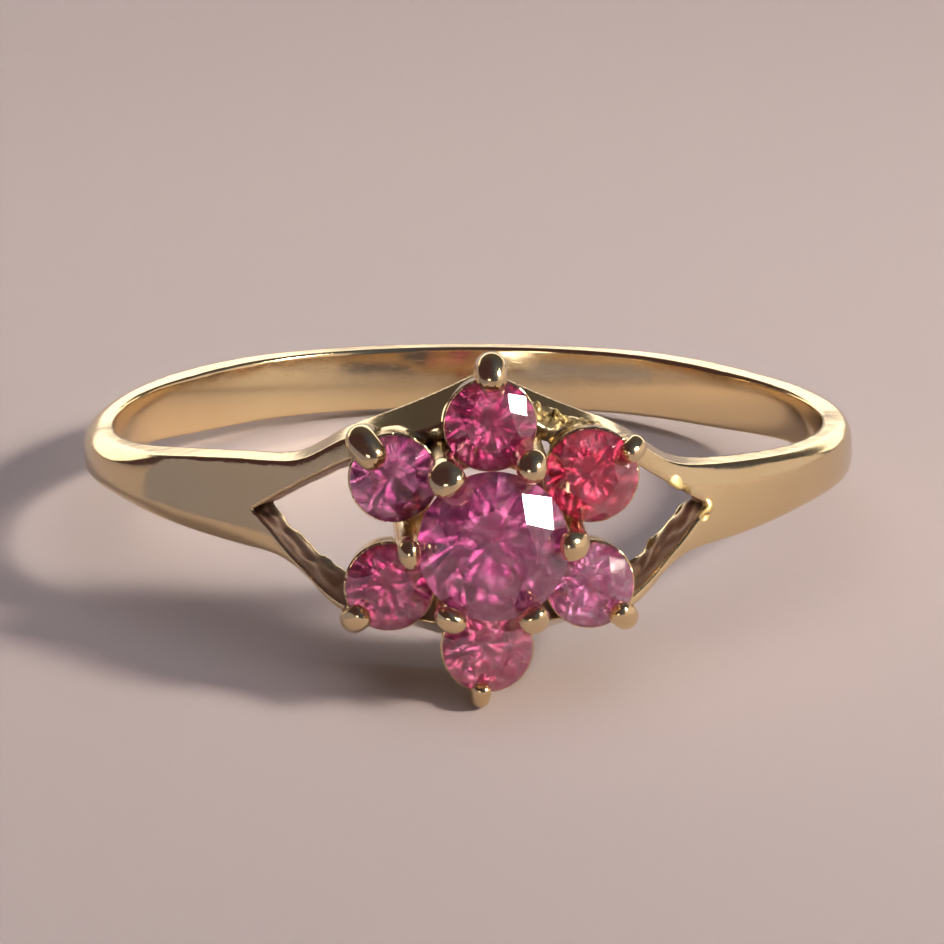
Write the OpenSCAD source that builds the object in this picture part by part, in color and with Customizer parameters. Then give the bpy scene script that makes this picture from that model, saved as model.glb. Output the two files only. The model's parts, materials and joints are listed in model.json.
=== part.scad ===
// Cluster ring: a seven-stone flower head on a split-shoulder band, in millimetres.
// The origin is the centre of the finger bore. The ring lies on its side as it rests on a table:
// +Z is up, the head faces -Y and leans back a little, and +X is to the right of the head.

/* [Band] */
// Inside diameter of the ring
bore_d = 17.3; // [14:0.1:21]
// Thickness of the band at its back and sides
band_t = 0.73; // [0.6:0.01:1.2]
// Width of the band at its back
back_w = 1.6; // [1.2:0.05:3]
// Width of the band at its sides
side_w = 1.3; // [1:0.05:2.6]
// Radius of the low dome across the outside of the band
dome_r = 4; // [3:0.1:5]

/* [Shoulders] */
// Thickness that the shoulders gain from the sides to the head
shoulder_rise = 0.92; // [0.5:0.01:1.3]
// How far the centre of the head's curve lies forward of the bore's centre
head_curve = 1.4; // [1.2:0.1:2]
// Width of the shoulders where they split
shoulder_w = 1.86; // [1.4:0.02:2.6]
// Distance from the middle of the head to the point of each split
split_x = 5.2; // [4.4:0.05:6.2]

/* [Stones] */
// Diameter of the centre stone
centre_d = 3.35; // [2.8:0.05:4]
// Diameter of a petal stone before its own share is taken
petal_d = 2; // [1.7:0.05:2.4]
// How far the petals run under the edge of the centre stone
petal_tuck = 0.12; // [0:0.01:0.3]
// Height of the petals' girdles above the top of the shoulders' curve
petal_rise = 0.8; // [0.6:0.05:1.4]
// Height of the centre stone's girdle above the petals' girdles
centre_rise = 1.4; // [1.1:0.05:2]
// Gap between a stone and the metal round it
stone_gap = 0.03; // [0.02:0.005:0.05]

/* [Seats and gallery] */
// Thickness of the gallery's walls measured from the bore
gallery_t = 1.3; // [1:0.05:1.6]
// Height of a petal seat
seat_h = 1.6; // [1.3:0.05:2]
// Thickness of a seat's rim
seat_rim = 0.12; // [0.08:0.01:0.2]
// Height of the raised centre seat
centre_seat_h = 0.9; // [0.7:0.05:1.1]
// Height of the inner gallery ring
inner_ring_h = 0.8; // [0.5:0.05:1]

/* [Claws] */
// Thickness of an inner claw
claw_t = 0.54; // [0.45:0.01:0.66]
// How far a claw's notch reaches in past the edge of its stone
claw_bite = 0.07; // [0.04:0.01:0.1]
// How far the middle of an inner claw's tip stands over the edge of the centre stone
claw_grip = 0.1; // [0.05:0.01:0.2]
// Height of a claw's knee above its stone's girdle
knee_rise = 0.1; // [0.05:0.01:0.2]
// Height of the middle of a claw's tip above its stone's girdle
tip_rise = 0.21; // [0.15:0.01:0.3]
// How far an outer claw leans out from its foot to its knee
claw_lean = 0.4; // [0.2:0.05:0.6]

/* [Hidden] */
petal_count = 6;

gold = "#d9b872";
centre_plum = "#8f2f6b";
petal_ruby = "#a32a55";
fine = 96;
// How far a cutting shape runs past what it cuts
past = 2;
// How far soldered pieces run into each other
weld = 0.05;
// A claw's rounded knee and tip, as a share of the claw's thickness
bead_share = 1.08;
// How far the gallery's thicker walls reach to each side, as a share of split_x
gallery_share = 0.8;
// How far a seat's ledge lies in from the edge of its stone, as a share of the stone's diameter
ledge_share = 0.06;
// Radius of a seat's foot, as a share of its rim's
foot_share = 0.8;
// Width of the open well under a stone, as a share of the stone's diameter
well_share = 0.5;

// Columns of the petal table: bearing in the flower, distance, diameter, bearing of the claw over the
// outer edge, that claw's thickness, and bearing in the flower of the inner claw on the clockwise side.
// The three sizes are shares of flower_r, petal_d and claw_t. Row 1 is the top petal, and the rest
// follow clockwise as the wearer's neighbour sees them.
ANGLE = 0;
REACH = 1;
SIZE = 2;
CLAW_ANGLE = 3;
CLAW_SIZE = 4;
INNER_ANGLE = 5;
petals = [
    [90, 0.96, 1.02, 90, 1.34, 65],
    [30, 1.02, 1.04, 36, 0.86, 3],
    [332, 0.99, 0.97, 322, 0.98, 299],
    [268.5, 1.02, 1.01, 263, 0.84, 243],
    [208, 1.0, 0.98, 218, 0.98, 184],
    [149.5, 0.98, 0.97, 133, 1.28, 124],
];

// Proportions of a round brilliant, as shares of its diameter
table_share = 0.56;
crown_share = 0.15;
girdle_share = 0.035;
pavilion_share = 0.43;
star_share = 0.82;
lower_share = 0.22;
facet_turn = 22.5;

bore_r = bore_d / 2;
side_r = bore_r + band_t;
head_r = side_r + shoulder_rise;
back_half = back_w / 2;
side_half = side_w / 2;
shoulder_half = shoulder_w / 2;

flower_r = centre_d / 2 + petal_d / 2 - petal_tuck;
petal_level = head_r + petal_rise;
centre_level = petal_level + centre_rise;
gallery_reach = flower_r + 0.4 * petal_d;
claw_r = claw_t / 2;
inner_claw_r = centre_d / 2 - claw_bite + claw_r;
centre_seat_r = inner_claw_r - claw_r + weld;
seat_foot_level = petal_level - seat_h;

// Half outline of the head's metal in the front view: x as a share of split_x, height as a share of
// gallery_reach. The window between the arms has an outline of the same kind.
outline_shares = [[0, 1], [0.577, 0.575], [0.673, 0.475], [0.75, 0.38], [0.837, 0.31]];
window_shares = [[0, 0.82], [0.6, 0.43]];
head_outline = concat(
    [for (s = outline_shares) [s[0] * split_x, s[1] * gallery_reach]],
    [[split_x, shoulder_half], [bore_r, side_half], [side_r + past, side_half]]
);
window = concat([for (s = window_shares) [s[0] * split_x, s[1] * gallery_reach]], [[split_x, 0]]);

// The whole loop of an outline from its upper right quarter, which starts on the middle line.
function whole_loop(quarter) = let (last = len(quarter) - 1, ends_on_x = quarter[last][1] == 0)
    concat(
        quarter,
        [for (i = [ends_on_x ? last - 1 : last : -1 : 0]) [quarter[i][0], -quarter[i][1]]],
        [for (i = [1 : last]) [-quarter[i][0], -quarter[i][1]]],
        [for (i = [ends_on_x ? last - 1 : last : -1 : 1]) [-quarter[i][0], quarter[i][1]]]
    );

function petal_at(i) = flower_r * petals[i][REACH] * [cos(petals[i][ANGLE]), sin(petals[i][ANGLE])];
function petal_size(i) = petal_d * petals[i][SIZE];
function petal_seat_r(i) = (0.5 - ledge_share) * petal_size(i) + seat_rim;
function outer_claw_r(i) = claw_r * petals[i][CLAW_SIZE];
function claw_way(i) = [cos(petals[i][CLAW_ANGLE]), sin(petals[i][CLAW_ANGLE])];
function knee_out(i) = petal_size(i) / 2 - claw_bite + outer_claw_r(i);

// The ring rests on the knee of its lowest claw and on the lower edge of the band's back.
lowest = 3;
knee_level = petal_level + knee_rise;
knee_drop = -(petal_at(lowest) + claw_way(lowest) * knee_out(lowest))[1];
back_edge = side_r - dome_r + sqrt(dome_r ^ 2 - back_half ^ 2);
rest_run = knee_level + back_edge;
rest_drop = knee_drop - back_half;
tilt = atan2(rest_drop, rest_run) + asin(outer_claw_r(lowest) * bead_share / norm([rest_run, rest_drop]));

module lay_down() {
    rotate([-tilt, 0, 0]) children();
}

// Turns a sketch of the head, drawn face up, to face forward.
module face_front() {
    rotate([90, 0, 0]) children();
}

module bar(from, to, r) {
    way = to - from;
    translate(from)
        rotate([0, acos(way[2] / norm(way)), atan2(way[1], way[0])])
            cylinder(r = r, h = norm(way), $fn = fine);
}

module ball(at, r) {
    translate(at) sphere(r = r, $fn = fine);
}

// Cross-section of the band about the z axis, domed on the outside.
module band_section(outer_r) {
    intersection() {
        translate([outer_r - dome_r, 0]) circle(r = dome_r, $fn = fine * 2);
        translate([outer_r - dome_r / 2, -dome_r]) square([dome_r, 2 * dome_r]);
    }
}

module band_ring(outer_r) {
    rotate_extrude($fn = fine * 2) band_section(outer_r);
}

// The back outline, seen from the side: the band widens a little towards its back.
module back_outline() {
    slope = (back_half - side_half) / back_edge;
    reach = side_r + past;
    wide = side_half + slope * reach;
    polygon([
        [-side_half, side_half], [0, side_half], [reach, wide],
        [reach, -wide], [0, -side_half], [-side_half, -side_half],
    ]);
}

module front_prism() {
    face_front() linear_extrude(height = head_r + past) children();
}

module back_prism() {
    rotate([90, 0, 90]) linear_extrude(height = 2 * (side_r + past), center = true) back_outline();
}

// The band's outside is round, and at the head a second circle, set forward, thickens the shoulders.
module band() {
    intersection() {
        band_ring(side_r);
        back_prism();
    }
    intersection() {
        band_ring(side_r);
        front_prism() polygon(whole_loop(head_outline));
    }
    intersection() {
        translate([0, -head_curve, 0]) band_ring(head_r - head_curve);
        front_prism() polygon(whole_loop(head_outline));
    }
}

// The bowed rails under the petals, as thick as gallery_t outside the bore.
module gallery() {
    intersection() {
        cylinder(r = bore_r + gallery_t, h = 3 * gallery_reach, center = true, $fn = fine * 2);
        front_prism()
            intersection() {
                polygon(whole_loop(head_outline));
                square([2 * gallery_share * split_x, 3 * gallery_reach], center = true);
            }
    }
}

// A tapered cup, drawn face up with its rim at level.
module seat(rim_r, level, h) {
    translate([0, 0, level - h]) cylinder(r1 = foot_share * rim_r, r2 = rim_r, h = h, $fn = fine);
}

module petal_seats() {
    for (i = [0 : petal_count - 1])
        translate(petal_at(i)) seat(petal_seat_r(i), petal_level - girdle_share * petal_d, seat_h);
}

module centre_seat() {
    seat(centre_seat_r, centre_level - girdle_share * centre_d, centre_seat_h);
}

module seat_wells() {
    for (i = [0 : petal_count - 1])
        translate(petal_at(i)) cylinder(r = well_share * petal_size(i) / 2, h = petal_level, $fn = fine);
    cylinder(r = well_share * centre_d / 2, h = centre_level, $fn = fine);
}

module inner_ring() {
    translate([0, 0, seat_foot_level])
        difference() {
            cylinder(r = inner_claw_r + weld, h = inner_ring_h, $fn = fine);
            translate([0, 0, -past]) cylinder(r = inner_claw_r - claw_t, h = inner_ring_h + 2 * past, $fn = fine);
        }
}

module inner_claws() {
    for (i = [0 : petal_count - 1])
        rotate([0, 0, petals[i][INNER_ANGLE]]) {
            foot = [inner_claw_r, 0, seat_foot_level];
            knee = [inner_claw_r, 0, centre_level + knee_rise];
            tip = [centre_d / 2 - claw_grip, 0, centre_level + tip_rise];
            bar(foot, knee, claw_r);
            ball(knee, claw_r * bead_share);
            bar(knee, tip, claw_r);
            ball(tip, claw_r * bead_share);
        }
}

module outer_claws() {
    for (i = [0 : petal_count - 1]) {
        r = outer_claw_r(i);
        centre = [petal_at(i)[0], petal_at(i)[1], 0];
        way = [claw_way(i)[0], claw_way(i)[1], 0];
        knee = centre + way * knee_out(i) + [0, 0, knee_level];
        foot = centre + way * (knee_out(i) - claw_lean) + [0, 0, seat_foot_level];
        tip = centre + way * (petal_size(i) / 2) + [0, 0, petal_level + tip_rise];
        bar(foot, knee, r);
        ball(knee, r * bead_share);
        bar(knee, tip, r);
        ball(tip, r * bead_share);
    }
}

// The room that a stone takes, drawn face up with its girdle's middle at z = 0.
module stone_room(d, gap) {
    r = d / 2;
    half_girdle = girdle_share * d / 2;
    crown = crown_share * d;
    pavilion = pavilion_share * d;
    star_h = crown * (1 - star_share * cos(facet_turn)) / (1 - table_share);
    lower_h = pavilion * (1 - lower_share * cos(facet_turn));
    rotate_extrude($fn = fine)
        polygon([
            [0, -half_girdle - pavilion - 2 * gap],
            [lower_share * r + gap, -half_girdle - lower_h - gap],
            [r + gap, -half_girdle - gap],
            [r + gap, half_girdle + gap],
            [star_share * r + gap, half_girdle + star_h + gap],
            [table_share * r + gap, half_girdle + crown + gap],
            [0, half_girdle + crown + gap],
        ]);
}

// A round brilliant, drawn face up with its girdle's middle at z = 0: table, stars, kites, upper
// girdle facets, girdle, lower girdle facets and pavilion kites.
module brilliant(d) {
    r = d / 2;
    half_girdle = girdle_share * d / 2;
    crown = crown_share * d;
    pavilion = pavilion_share * d;
    star_h = crown * (1 - star_share * cos(facet_turn)) / (1 - table_share);
    lower_h = pavilion * (1 - lower_share * cos(facet_turn));
    function row(n, radius, turn, z) =
        [for (i = [0 : n - 1]) [radius * cos(360 * i / n + turn), radius * sin(360 * i / n + turn), z]];
    points = concat(
        row(8, table_share * r, 0, half_girdle + crown),
        row(8, star_share * r, facet_turn, half_girdle + star_h),
        row(16, r, 0, half_girdle),
        row(16, r, 0, -half_girdle),
        row(8, lower_share * r, facet_turn, -half_girdle - lower_h),
        [[0, 0, -half_girdle - pavilion]]
    );
    function table(i) = (i + 8) % 8;
    function star(i) = 8 + (i + 8) % 8;
    function upper(i) = 16 + (i + 16) % 16;
    function under(i) = 32 + (i + 16) % 16;
    function lower(i) = 48 + (i + 8) % 8;
    culet = 56;
    faces = concat(
        [[for (i = [7 : -1 : 0]) table(i)]],
        [for (i = [0 : 7]) [table(i), table(i + 1), star(i)]],
        [for (i = [0 : 7]) [table(i), star(i), upper(2 * i), star(i - 1)]],
        [for (i = [0 : 7]) [star(i), upper(2 * i + 1), upper(2 * i)]],
        [for (i = [0 : 7]) [star(i), upper(2 * i + 2), upper(2 * i + 1)]],
        [for (i = [0 : 15]) [upper(i), upper(i + 1), under(i + 1), under(i)]],
        [for (i = [0 : 7]) [lower(i), under(2 * i), under(2 * i + 1)]],
        [for (i = [0 : 7]) [lower(i), under(2 * i + 1), under(2 * i + 2)]],
        [for (i = [0 : 7]) [culet, lower(i - 1), under(2 * i), lower(i)]]
    );
    polyhedron(points = points, faces = faces, convexity = 2);
}

module place_centre() {
    face_front() translate([0, 0, centre_level]) children();
}

module place_petal(i) {
    face_front() translate([petal_at(i)[0], petal_at(i)[1], petal_level]) children();
}

module gold_mount() {
    color(gold) lay_down()
        difference() {
            union() {
                difference() {
                    union() {
                        band();
                        gallery();
                    }
                    front_prism() polygon(whole_loop(window));
                }
                face_front() {
                    difference() {
                        union() {
                            petal_seats();
                            inner_ring();
                            centre_seat();
                        }
                        seat_wells();
                    }
                    inner_claws();
                    outer_claws();
                }
            }
            cylinder(r = bore_r, h = 4 * gallery_reach, center = true, $fn = fine * 2);
            place_centre() stone_room(centre_d, stone_gap);
            for (i = [0 : petal_count - 1]) place_petal(i) stone_room(petal_size(i), stone_gap);
        }
}

module centre_stone() {
    color(centre_plum) lay_down() place_centre() brilliant(centre_d);
}

module petal_stone(i) {
    color(petal_ruby) lay_down() place_petal(i) brilliant(petal_size(i));
}

gold_mount();
centre_stone();
for (i = [1 : petal_count])
    petal_stone(i - 1);
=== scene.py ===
"""Looks of a cluster ring: a flower of seven stones on a split-shoulder gold band.

Sizes are in millimetres. The head frame has u to the right of the flower, v up it, and w forward
along its axis from the centre of the finger bore. The band's axis is v.
"""

import json
import logging
import math
from dataclasses import asdict, dataclass, fields
from enum import Enum

import bpy
import numpy as np
from mathutils import Matrix, Vector


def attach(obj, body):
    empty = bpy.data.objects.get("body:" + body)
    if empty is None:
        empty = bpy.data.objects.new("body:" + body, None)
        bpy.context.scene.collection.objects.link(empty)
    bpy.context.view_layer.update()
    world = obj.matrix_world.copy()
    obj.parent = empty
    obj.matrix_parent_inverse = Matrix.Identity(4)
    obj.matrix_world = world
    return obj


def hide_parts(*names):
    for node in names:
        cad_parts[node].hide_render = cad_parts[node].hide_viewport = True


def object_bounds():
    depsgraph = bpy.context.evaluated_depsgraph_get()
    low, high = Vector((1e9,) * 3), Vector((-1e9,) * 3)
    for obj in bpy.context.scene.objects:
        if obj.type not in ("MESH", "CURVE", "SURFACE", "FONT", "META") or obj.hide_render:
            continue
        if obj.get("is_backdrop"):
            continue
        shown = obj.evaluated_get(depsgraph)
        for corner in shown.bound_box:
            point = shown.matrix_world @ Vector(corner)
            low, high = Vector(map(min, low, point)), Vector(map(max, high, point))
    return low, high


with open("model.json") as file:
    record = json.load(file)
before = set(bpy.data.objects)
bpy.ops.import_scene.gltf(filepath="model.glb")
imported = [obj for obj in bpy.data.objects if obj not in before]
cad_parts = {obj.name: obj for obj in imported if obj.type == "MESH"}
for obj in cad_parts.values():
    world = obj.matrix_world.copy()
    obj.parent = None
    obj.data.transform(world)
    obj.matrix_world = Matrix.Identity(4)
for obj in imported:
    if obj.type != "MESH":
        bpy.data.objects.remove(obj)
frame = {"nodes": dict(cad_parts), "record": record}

LOG = logging.getLogger("cluster_ring")
METRES = 0.001
BODY = "root"
MOUNT_NODE = "gold_mount"
CENTRE_NODE = "centre_stone"
PETAL_NODES = [f"petal_stone_{i}" for i in range(1, 7)]
TINY = 1e-6

Points = np.ndarray
Field = np.ndarray
Border = tuple[float, float]
Colour = tuple[float, float, float]
Triple = tuple[float, float, float]


def smoothstep(low: float, high: float, value: Field) -> Field:
    """Ease value from 0 at low to 1 at high.

    Args:
        low: Value at which the result is 0.
        high: Value at which the result is 1; it may be below low.
        value: The values to ease.

    Returns:
        The eased values, from 0 to 1.
    """
    t = np.clip((value - low) / (high - low), 0.0, 1.0)
    return t * t * (3.0 - 2.0 * t)


def join(a: Field, b: Field, radius: float) -> Field:
    """Union of two distance fields with a fillet of the given radius."""
    fillet = np.hypot(np.maximum(radius - a, 0), np.maximum(radius - b, 0))
    return np.maximum(radius, np.minimum(a, b)) - fillet


def meet(a: Field, b: Field, radius: float) -> Field:
    """Intersection of two distance fields with a rounded edge of the given radius."""
    rounding = np.hypot(np.maximum(radius + a, 0), np.maximum(radius + b, 0))
    return np.minimum(-radius, np.maximum(a, b)) + rounding


@dataclass(frozen=True)
class Run:
    """A smooth line through a few chosen points.

    Attributes:
        points: Pairs of place and value, in rising order of place.
        blur: Half-width over which the corners are eased.
    """

    OFFSETS = (-1.0, -0.6, -0.2, 0.2, 0.6, 1.0)
    STEP = 0.05

    points: tuple[tuple[float, float], ...]
    blur: float = 0.3

    def at(self, place: Field) -> Field:
        """Value of the line at each place.

        Args:
            place: The places.

        Returns:
            The values, averaged over the blur.
        """
        places, values = zip(*self.points)
        shifted = [np.interp(place + offset * self.blur, places, values) for offset in self.OFFSETS]
        return sum(shifted) / len(shifted)

    def slope(self, place: Field) -> Field:
        """Slope of the line at each place."""
        return (self.at(place + self.STEP) - self.at(place - self.STEP)) / (2 * self.STEP)


@dataclass(frozen=True)
class Zone:
    """A part of the ring with soft borders.

    A border is a pair: the value at which the zone ends, and the one at which it is full.

    Attributes:
        u: Borders across u.
        v: Borders across v.
        w: Borders across w.
        front: Whether the zone lies only in front of the bore's axis.
    """

    u: tuple[Border, ...] = ()
    v: tuple[Border, ...] = ()
    w: tuple[Border, ...] = ()
    front: bool = False

    def share(self, u: Field, v: Field, w: Field) -> Field:
        """How far inside the zone each place is.

        Args:
            u: Places to the right, or how far they are from the middle.
            v: Places up the flower.
            w: Places forward.

        Returns:
            The shares, from 0 to 1.
        """
        total = w > 0 if self.front else 1.0
        for borders, places in ((self.u, u), (self.v, v), (self.w, w)):
            for end, full in borders:
                total = total * smoothstep(end, full, places)
        return total


@dataclass(frozen=True)
class RingFrame:
    """Where the ring lies in the row frame.

    Attributes:
        bore_r: Radius of the finger bore.
        tilt: How far the ring's axis leans, in radians.
    """

    bore_r: float
    tilt: float

    @classmethod
    def from_record(cls, record: dict) -> "RingFrame":
        """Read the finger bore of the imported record.

        Args:
            record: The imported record.

        Returns:
            The ring's frame.
        """
        bore = next(mount for mount in record["mounts"] if mount["name"] == "finger_bore")
        _, axis_y, axis_z = bore["axis"]
        return cls(bore["dims"]["r_mm"], math.atan2(axis_y, axis_z))

    @property
    def turn(self) -> np.ndarray:
        """Rotation from the head frame to the row frame."""
        return np.array(Matrix.Rotation(-self.tilt, 3, "X") @ Matrix.Rotation(math.pi / 2, 3, "X"))

    def to_row(self, points: Points) -> Points:
        """Row frame places, in metres, of head frame points."""
        return points @ self.turn.T * METRES

    def to_head(self, places: Points) -> Points:
        """Head frame points of row frame places."""
        return places / METRES @ self.turn


@dataclass(frozen=True)
class Cut:
    """Proportions of a round brilliant.

    Attributes:
        table: Reach of the table's corners, as a share of the girdle's radius.
        crown: Height of the crown, as a share of the diameter.
        girdle: Height of the girdle, as a share of the diameter.
        pavilion: Depth of the pavilion, as a share of the diameter.
        star: Reach of the corners between table and girdle, as a share of the radius.
        lower: Reach of the corners between girdle and culet, as a share of the radius.
        culet: Reach of the culet's corners, as a share of the radius.
    """

    table: float = 0.56
    crown: float = 0.15
    girdle: float = 0.035
    pavilion: float = 0.43
    star: float = 0.82
    lower: float = 0.22
    culet: float = 0.012


@dataclass(frozen=True)
class StonePlace:
    """Where a stone sits.

    Attributes:
        node: The stone's node.
        u: Place of its axis to the right of the flower's middle.
        v: Place of its axis above the flower's middle.
        level: Height of its girdle above the bore's centre.
        diameter: Diameter of its girdle.
        cut: Its proportions.
    """

    node: str
    u: float
    v: float
    level: float
    diameter: float
    cut: Cut

    @classmethod
    def from_node(cls, ring: RingFrame, node: str, cut: Cut) -> "StonePlace":
        """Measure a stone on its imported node.

        Args:
            ring: The ring's frame.
            node: Name of the stone's node.
            cut: Proportions of the stone.

        Returns:
            The stone's place.
        """
        corners = ring.to_head(np.array([vertex.co for vertex in frame["nodes"][node].data.vertices]))
        low, high = corners.min(axis=0), corners.max(axis=0)
        diameter = high[0] - low[0]
        level = low[2] + (cut.pavilion + cut.girdle / 2) * diameter
        return cls(node, (low[0] + high[0]) / 2, (low[1] + high[1]) / 2, level, diameter, cut)

    @property
    def radius(self) -> float:
        """Radius of the girdle."""
        return self.diameter / 2

    def out(self, bearing: float, reach: float, rise: float) -> Vector:
        """Point at a bearing, a reach from the stone's axis and a rise above its girdle.

        Args:
            bearing: Angle about the stone's axis, in degrees from u towards v.
            reach: Distance from the axis.
            rise: Height above the girdle.

        Returns:
            The point in the head frame.
        """
        angle = math.radians(bearing)
        along_u, along_v = reach * math.cos(angle), reach * math.sin(angle)
        return Vector((self.u + along_u, self.v + along_v, self.level + rise))


@dataclass(frozen=True)
class Shank:
    """Sizes of the band from its back to the split of its shoulders.

    Attributes:
        crest_r: Radius of the outside at its crest, along the angle from the front.
        fall: How far the outside falls away from its crest to its edges, along the same angle.
        fullness: Power of that fall; the higher, the fuller the section.
        past_edge: Share of the half-width up to which the fall goes on.
        left_fullness: Share of the fall that the upper left shoulder lacks.
        left_zone: Where it lacks it.
        lower_fullness: Share of the fall that the lower edges of the shoulders lack.
        lower_zone: Where they lack it.
        half_width: Half-width of the front, along the distance from the middle.
        shoulders: Border of the shoulders, along w.
        back_half: Half-width at the back.
        lower_trim: How much narrower the lower half is at the sides.
        trim_zone: Where it is narrower, with u counted from the middle.
        lean: Slope of the rails' sides beside the flower.
        lean_border: Border of that slope, along the distance from the middle.
        outer_edge: Radius of the outer edges.
        left_round: How much larger that radius is at the left end.
        left_end: Border of the left end, along u.
        right_round: How much larger it is before the right end.
        right_end: Where it is larger there.
        inner_edge: Radius of the edges of the bore.
        front_lift: How far an old knock has bent the front's upper edge up, along u.
        lift_zone: Where it is bent.
        arm_drop: How far the lower arms are bent down, along the distance from the middle.
        drop_zone: Where they are bent.
        back_lift: How far the back is bent up.
        back_border: Border of that bend, along w.
        bore_fall: How fast the bore's wall falls away from its middle.
        bore_flat: Square of the height at which that fall ends.
    """

    crest_r: Run = Run((
        (0.0, 10.24), (0.3, 9.98), (0.47, 9.78), (0.73, 9.6), (1.1, 9.45), (1.57, 9.38), (3.2, 9.38),
    ), 0.1)
    fall: Run = Run((
        (0.0, 0.03), (0.38, 0.05), (0.5, 0.14), (0.66, 0.24), (1.1, 0.22), (1.6, 0.15), (2.3, 0.07),
    ), 0.06)
    fullness: float = 3.4
    past_edge: float = 1.1
    left_fullness: float = 0.7
    left_zone: Zone = Zone(u=((-3.0, -5.0), (-8.4, -7.0)), v=((-0.3, 0.1),), front=True)
    lower_fullness: float = 0.35
    lower_zone: Zone = Zone(v=((0.1, -0.3),), w=((-0.5, 2.5),))
    half_width: Run = Run((
        (0.0, 3.36), (1.0, 2.87), (2.0, 2.42), (3.0, 2.0), (3.5, 1.66), (4.0, 1.24), (4.4, 1.05),
        (5.0, 0.94), (5.6, 0.88), (6.5, 0.81), (7.5, 0.73), (8.5, 0.67), (9.4, 0.645),
    ))
    shoulders: Border = (-0.6, 1.2)
    back_half: float = 0.8
    lower_trim: float = 0.1
    trim_zone: Zone = Zone(u=((5.2, 8.4),), w=((-8.5, -1.0),))
    lean: float = 0.36
    lean_border: Border = (3.6, 1.2)
    outer_edge: float = 0.035
    left_round: float = 0.26
    left_end: Border = (-7.2, -8.8)
    right_round: float = 0.14
    right_end: Zone = Zone(u=((5.8, 8.0),), w=((0.3, 2.2),))
    inner_edge: float = 0.05
    front_lift: Run = Run((
        (-9.4, -0.14), (-8.65, -0.1), (-7.9, 0.03), (-7.1, 0.17), (-5.4, 0.27), (-4.3, 0.15), (-3.2, 0.0),
    ), 0.55)
    lift_zone: Zone = Zone(v=((-0.6, 0.5),), w=((-5.0, 1.5),))
    arm_drop: Run = Run((
        (1.0, 0.0), (2.2, 0.2), (3.2, 0.33), (3.7, 0.33), (4.2, 0.15), (4.7, 0.01), (5.0, 0.0),
    ), 0.15)
    drop_zone: Zone = Zone(v=((0.3, -0.6),), front=True)
    back_lift: float = 0.11
    back_border: Border = (-5.0, -8.2)
    bore_fall: float = 0.05
    bore_flat: float = 0.8


@dataclass(frozen=True)
class Window:
    """Sizes of the openings between the arms of the split shoulders.

    Attributes:
        half_height: Half-height of the opening at its front, along the distance from the middle.
        front_r: Radius at which the half-height is taken.
        upper_left_draft: How fast the opening narrows towards the bore under the upper left arm.
        upper_right_draft: How fast it narrows under the upper right arm.
        lower_draft: How fast it narrows over the lower arms.
        side_border: Border between the left and the right draft, along u.
        level_border: Border between the lower and the upper drafts, along v.
        lower_gain: How much thinner the lower arms are at their front edge.
        gain_border: Border of that gain, along the distance from the middle.
        edge: Radius of the opening's edges.
        left_stretch: How much farther the left opening reaches.
        stretch_border: Border of that stretch, along u.
        roughness: Height of the lumps on its walls.
        upper_smoothness: Share of the lumps that the upper walls lack.
        cast_border: Border of the lumps, along the radius.
        cast_reach: How far from the middle they reach.
        cast_half: How far up and down they reach.
    """

    half_height: Run = Run((
        (0.0, 2.2), (1.0, 1.95), (2.0, 1.72), (3.12, 1.4), (5.25, 0.0), (7.0, -1.2),
    ), 0.1)
    front_r: float = 10.05
    upper_left_draft: float = 0.34
    upper_right_draft: float = 0.12
    lower_draft: float = 0.44
    side_border: Border = (-0.5, 0.5)
    level_border: Border = (-0.15, 0.15)
    lower_gain: float = 0.3
    gain_border: Border = (5.4, 4.4)
    edge: float = 0.055
    left_stretch: float = 0.24
    stretch_border: Border = (-2.5, -4.5)
    roughness: float = 0.05
    upper_smoothness: float = 0.75
    cast_border: Border = (9.8, 9.2)
    cast_reach: float = 6.0
    cast_half: float = 3.0


@dataclass(frozen=True)
class Ripples:
    """Irregular lumps of a rough casting, summed from waves that run all ways.

    Attributes:
        seed: Seed of the waves.
        count: How many waves.
        shortest: Shortest wavelength.
        longest: Longest wavelength.
        gain: Height of the lumps that the waves make together.
    """

    seed: int = 7
    count: int = 14
    shortest: float = 0.3
    longest: float = 1.1
    gain: float = 0.7

    def at(self, places: Points, share: Field) -> Field:
        """Height of the lumps at some places.

        Args:
            places: Arrays of the places along u, v and w.
            share: How much of the height is wanted at each; where it is 0 nothing is worked out.

        Returns:
            The heights, mostly from -1 to 1 where the share is 1.
        """
        near = share > 0
        u, v, w = (axis[near] for axis in places)
        chance = np.random.default_rng(self.seed)
        total = np.zeros_like(u)
        for _ in range(self.count):
            way = chance.normal(size=3)
            way *= 2 * math.pi / np.linalg.norm(way) / chance.uniform(self.shortest, self.longest)
            phase = way[0] * u + way[1] * v + way[2] * w + chance.uniform(0, 2 * math.pi)
            total += np.sin(phase).astype(u.dtype)
        height = np.zeros_like(share)
        height[near] = total * self.gain / math.sqrt(self.count / 2) * share[near]
        return height


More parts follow.
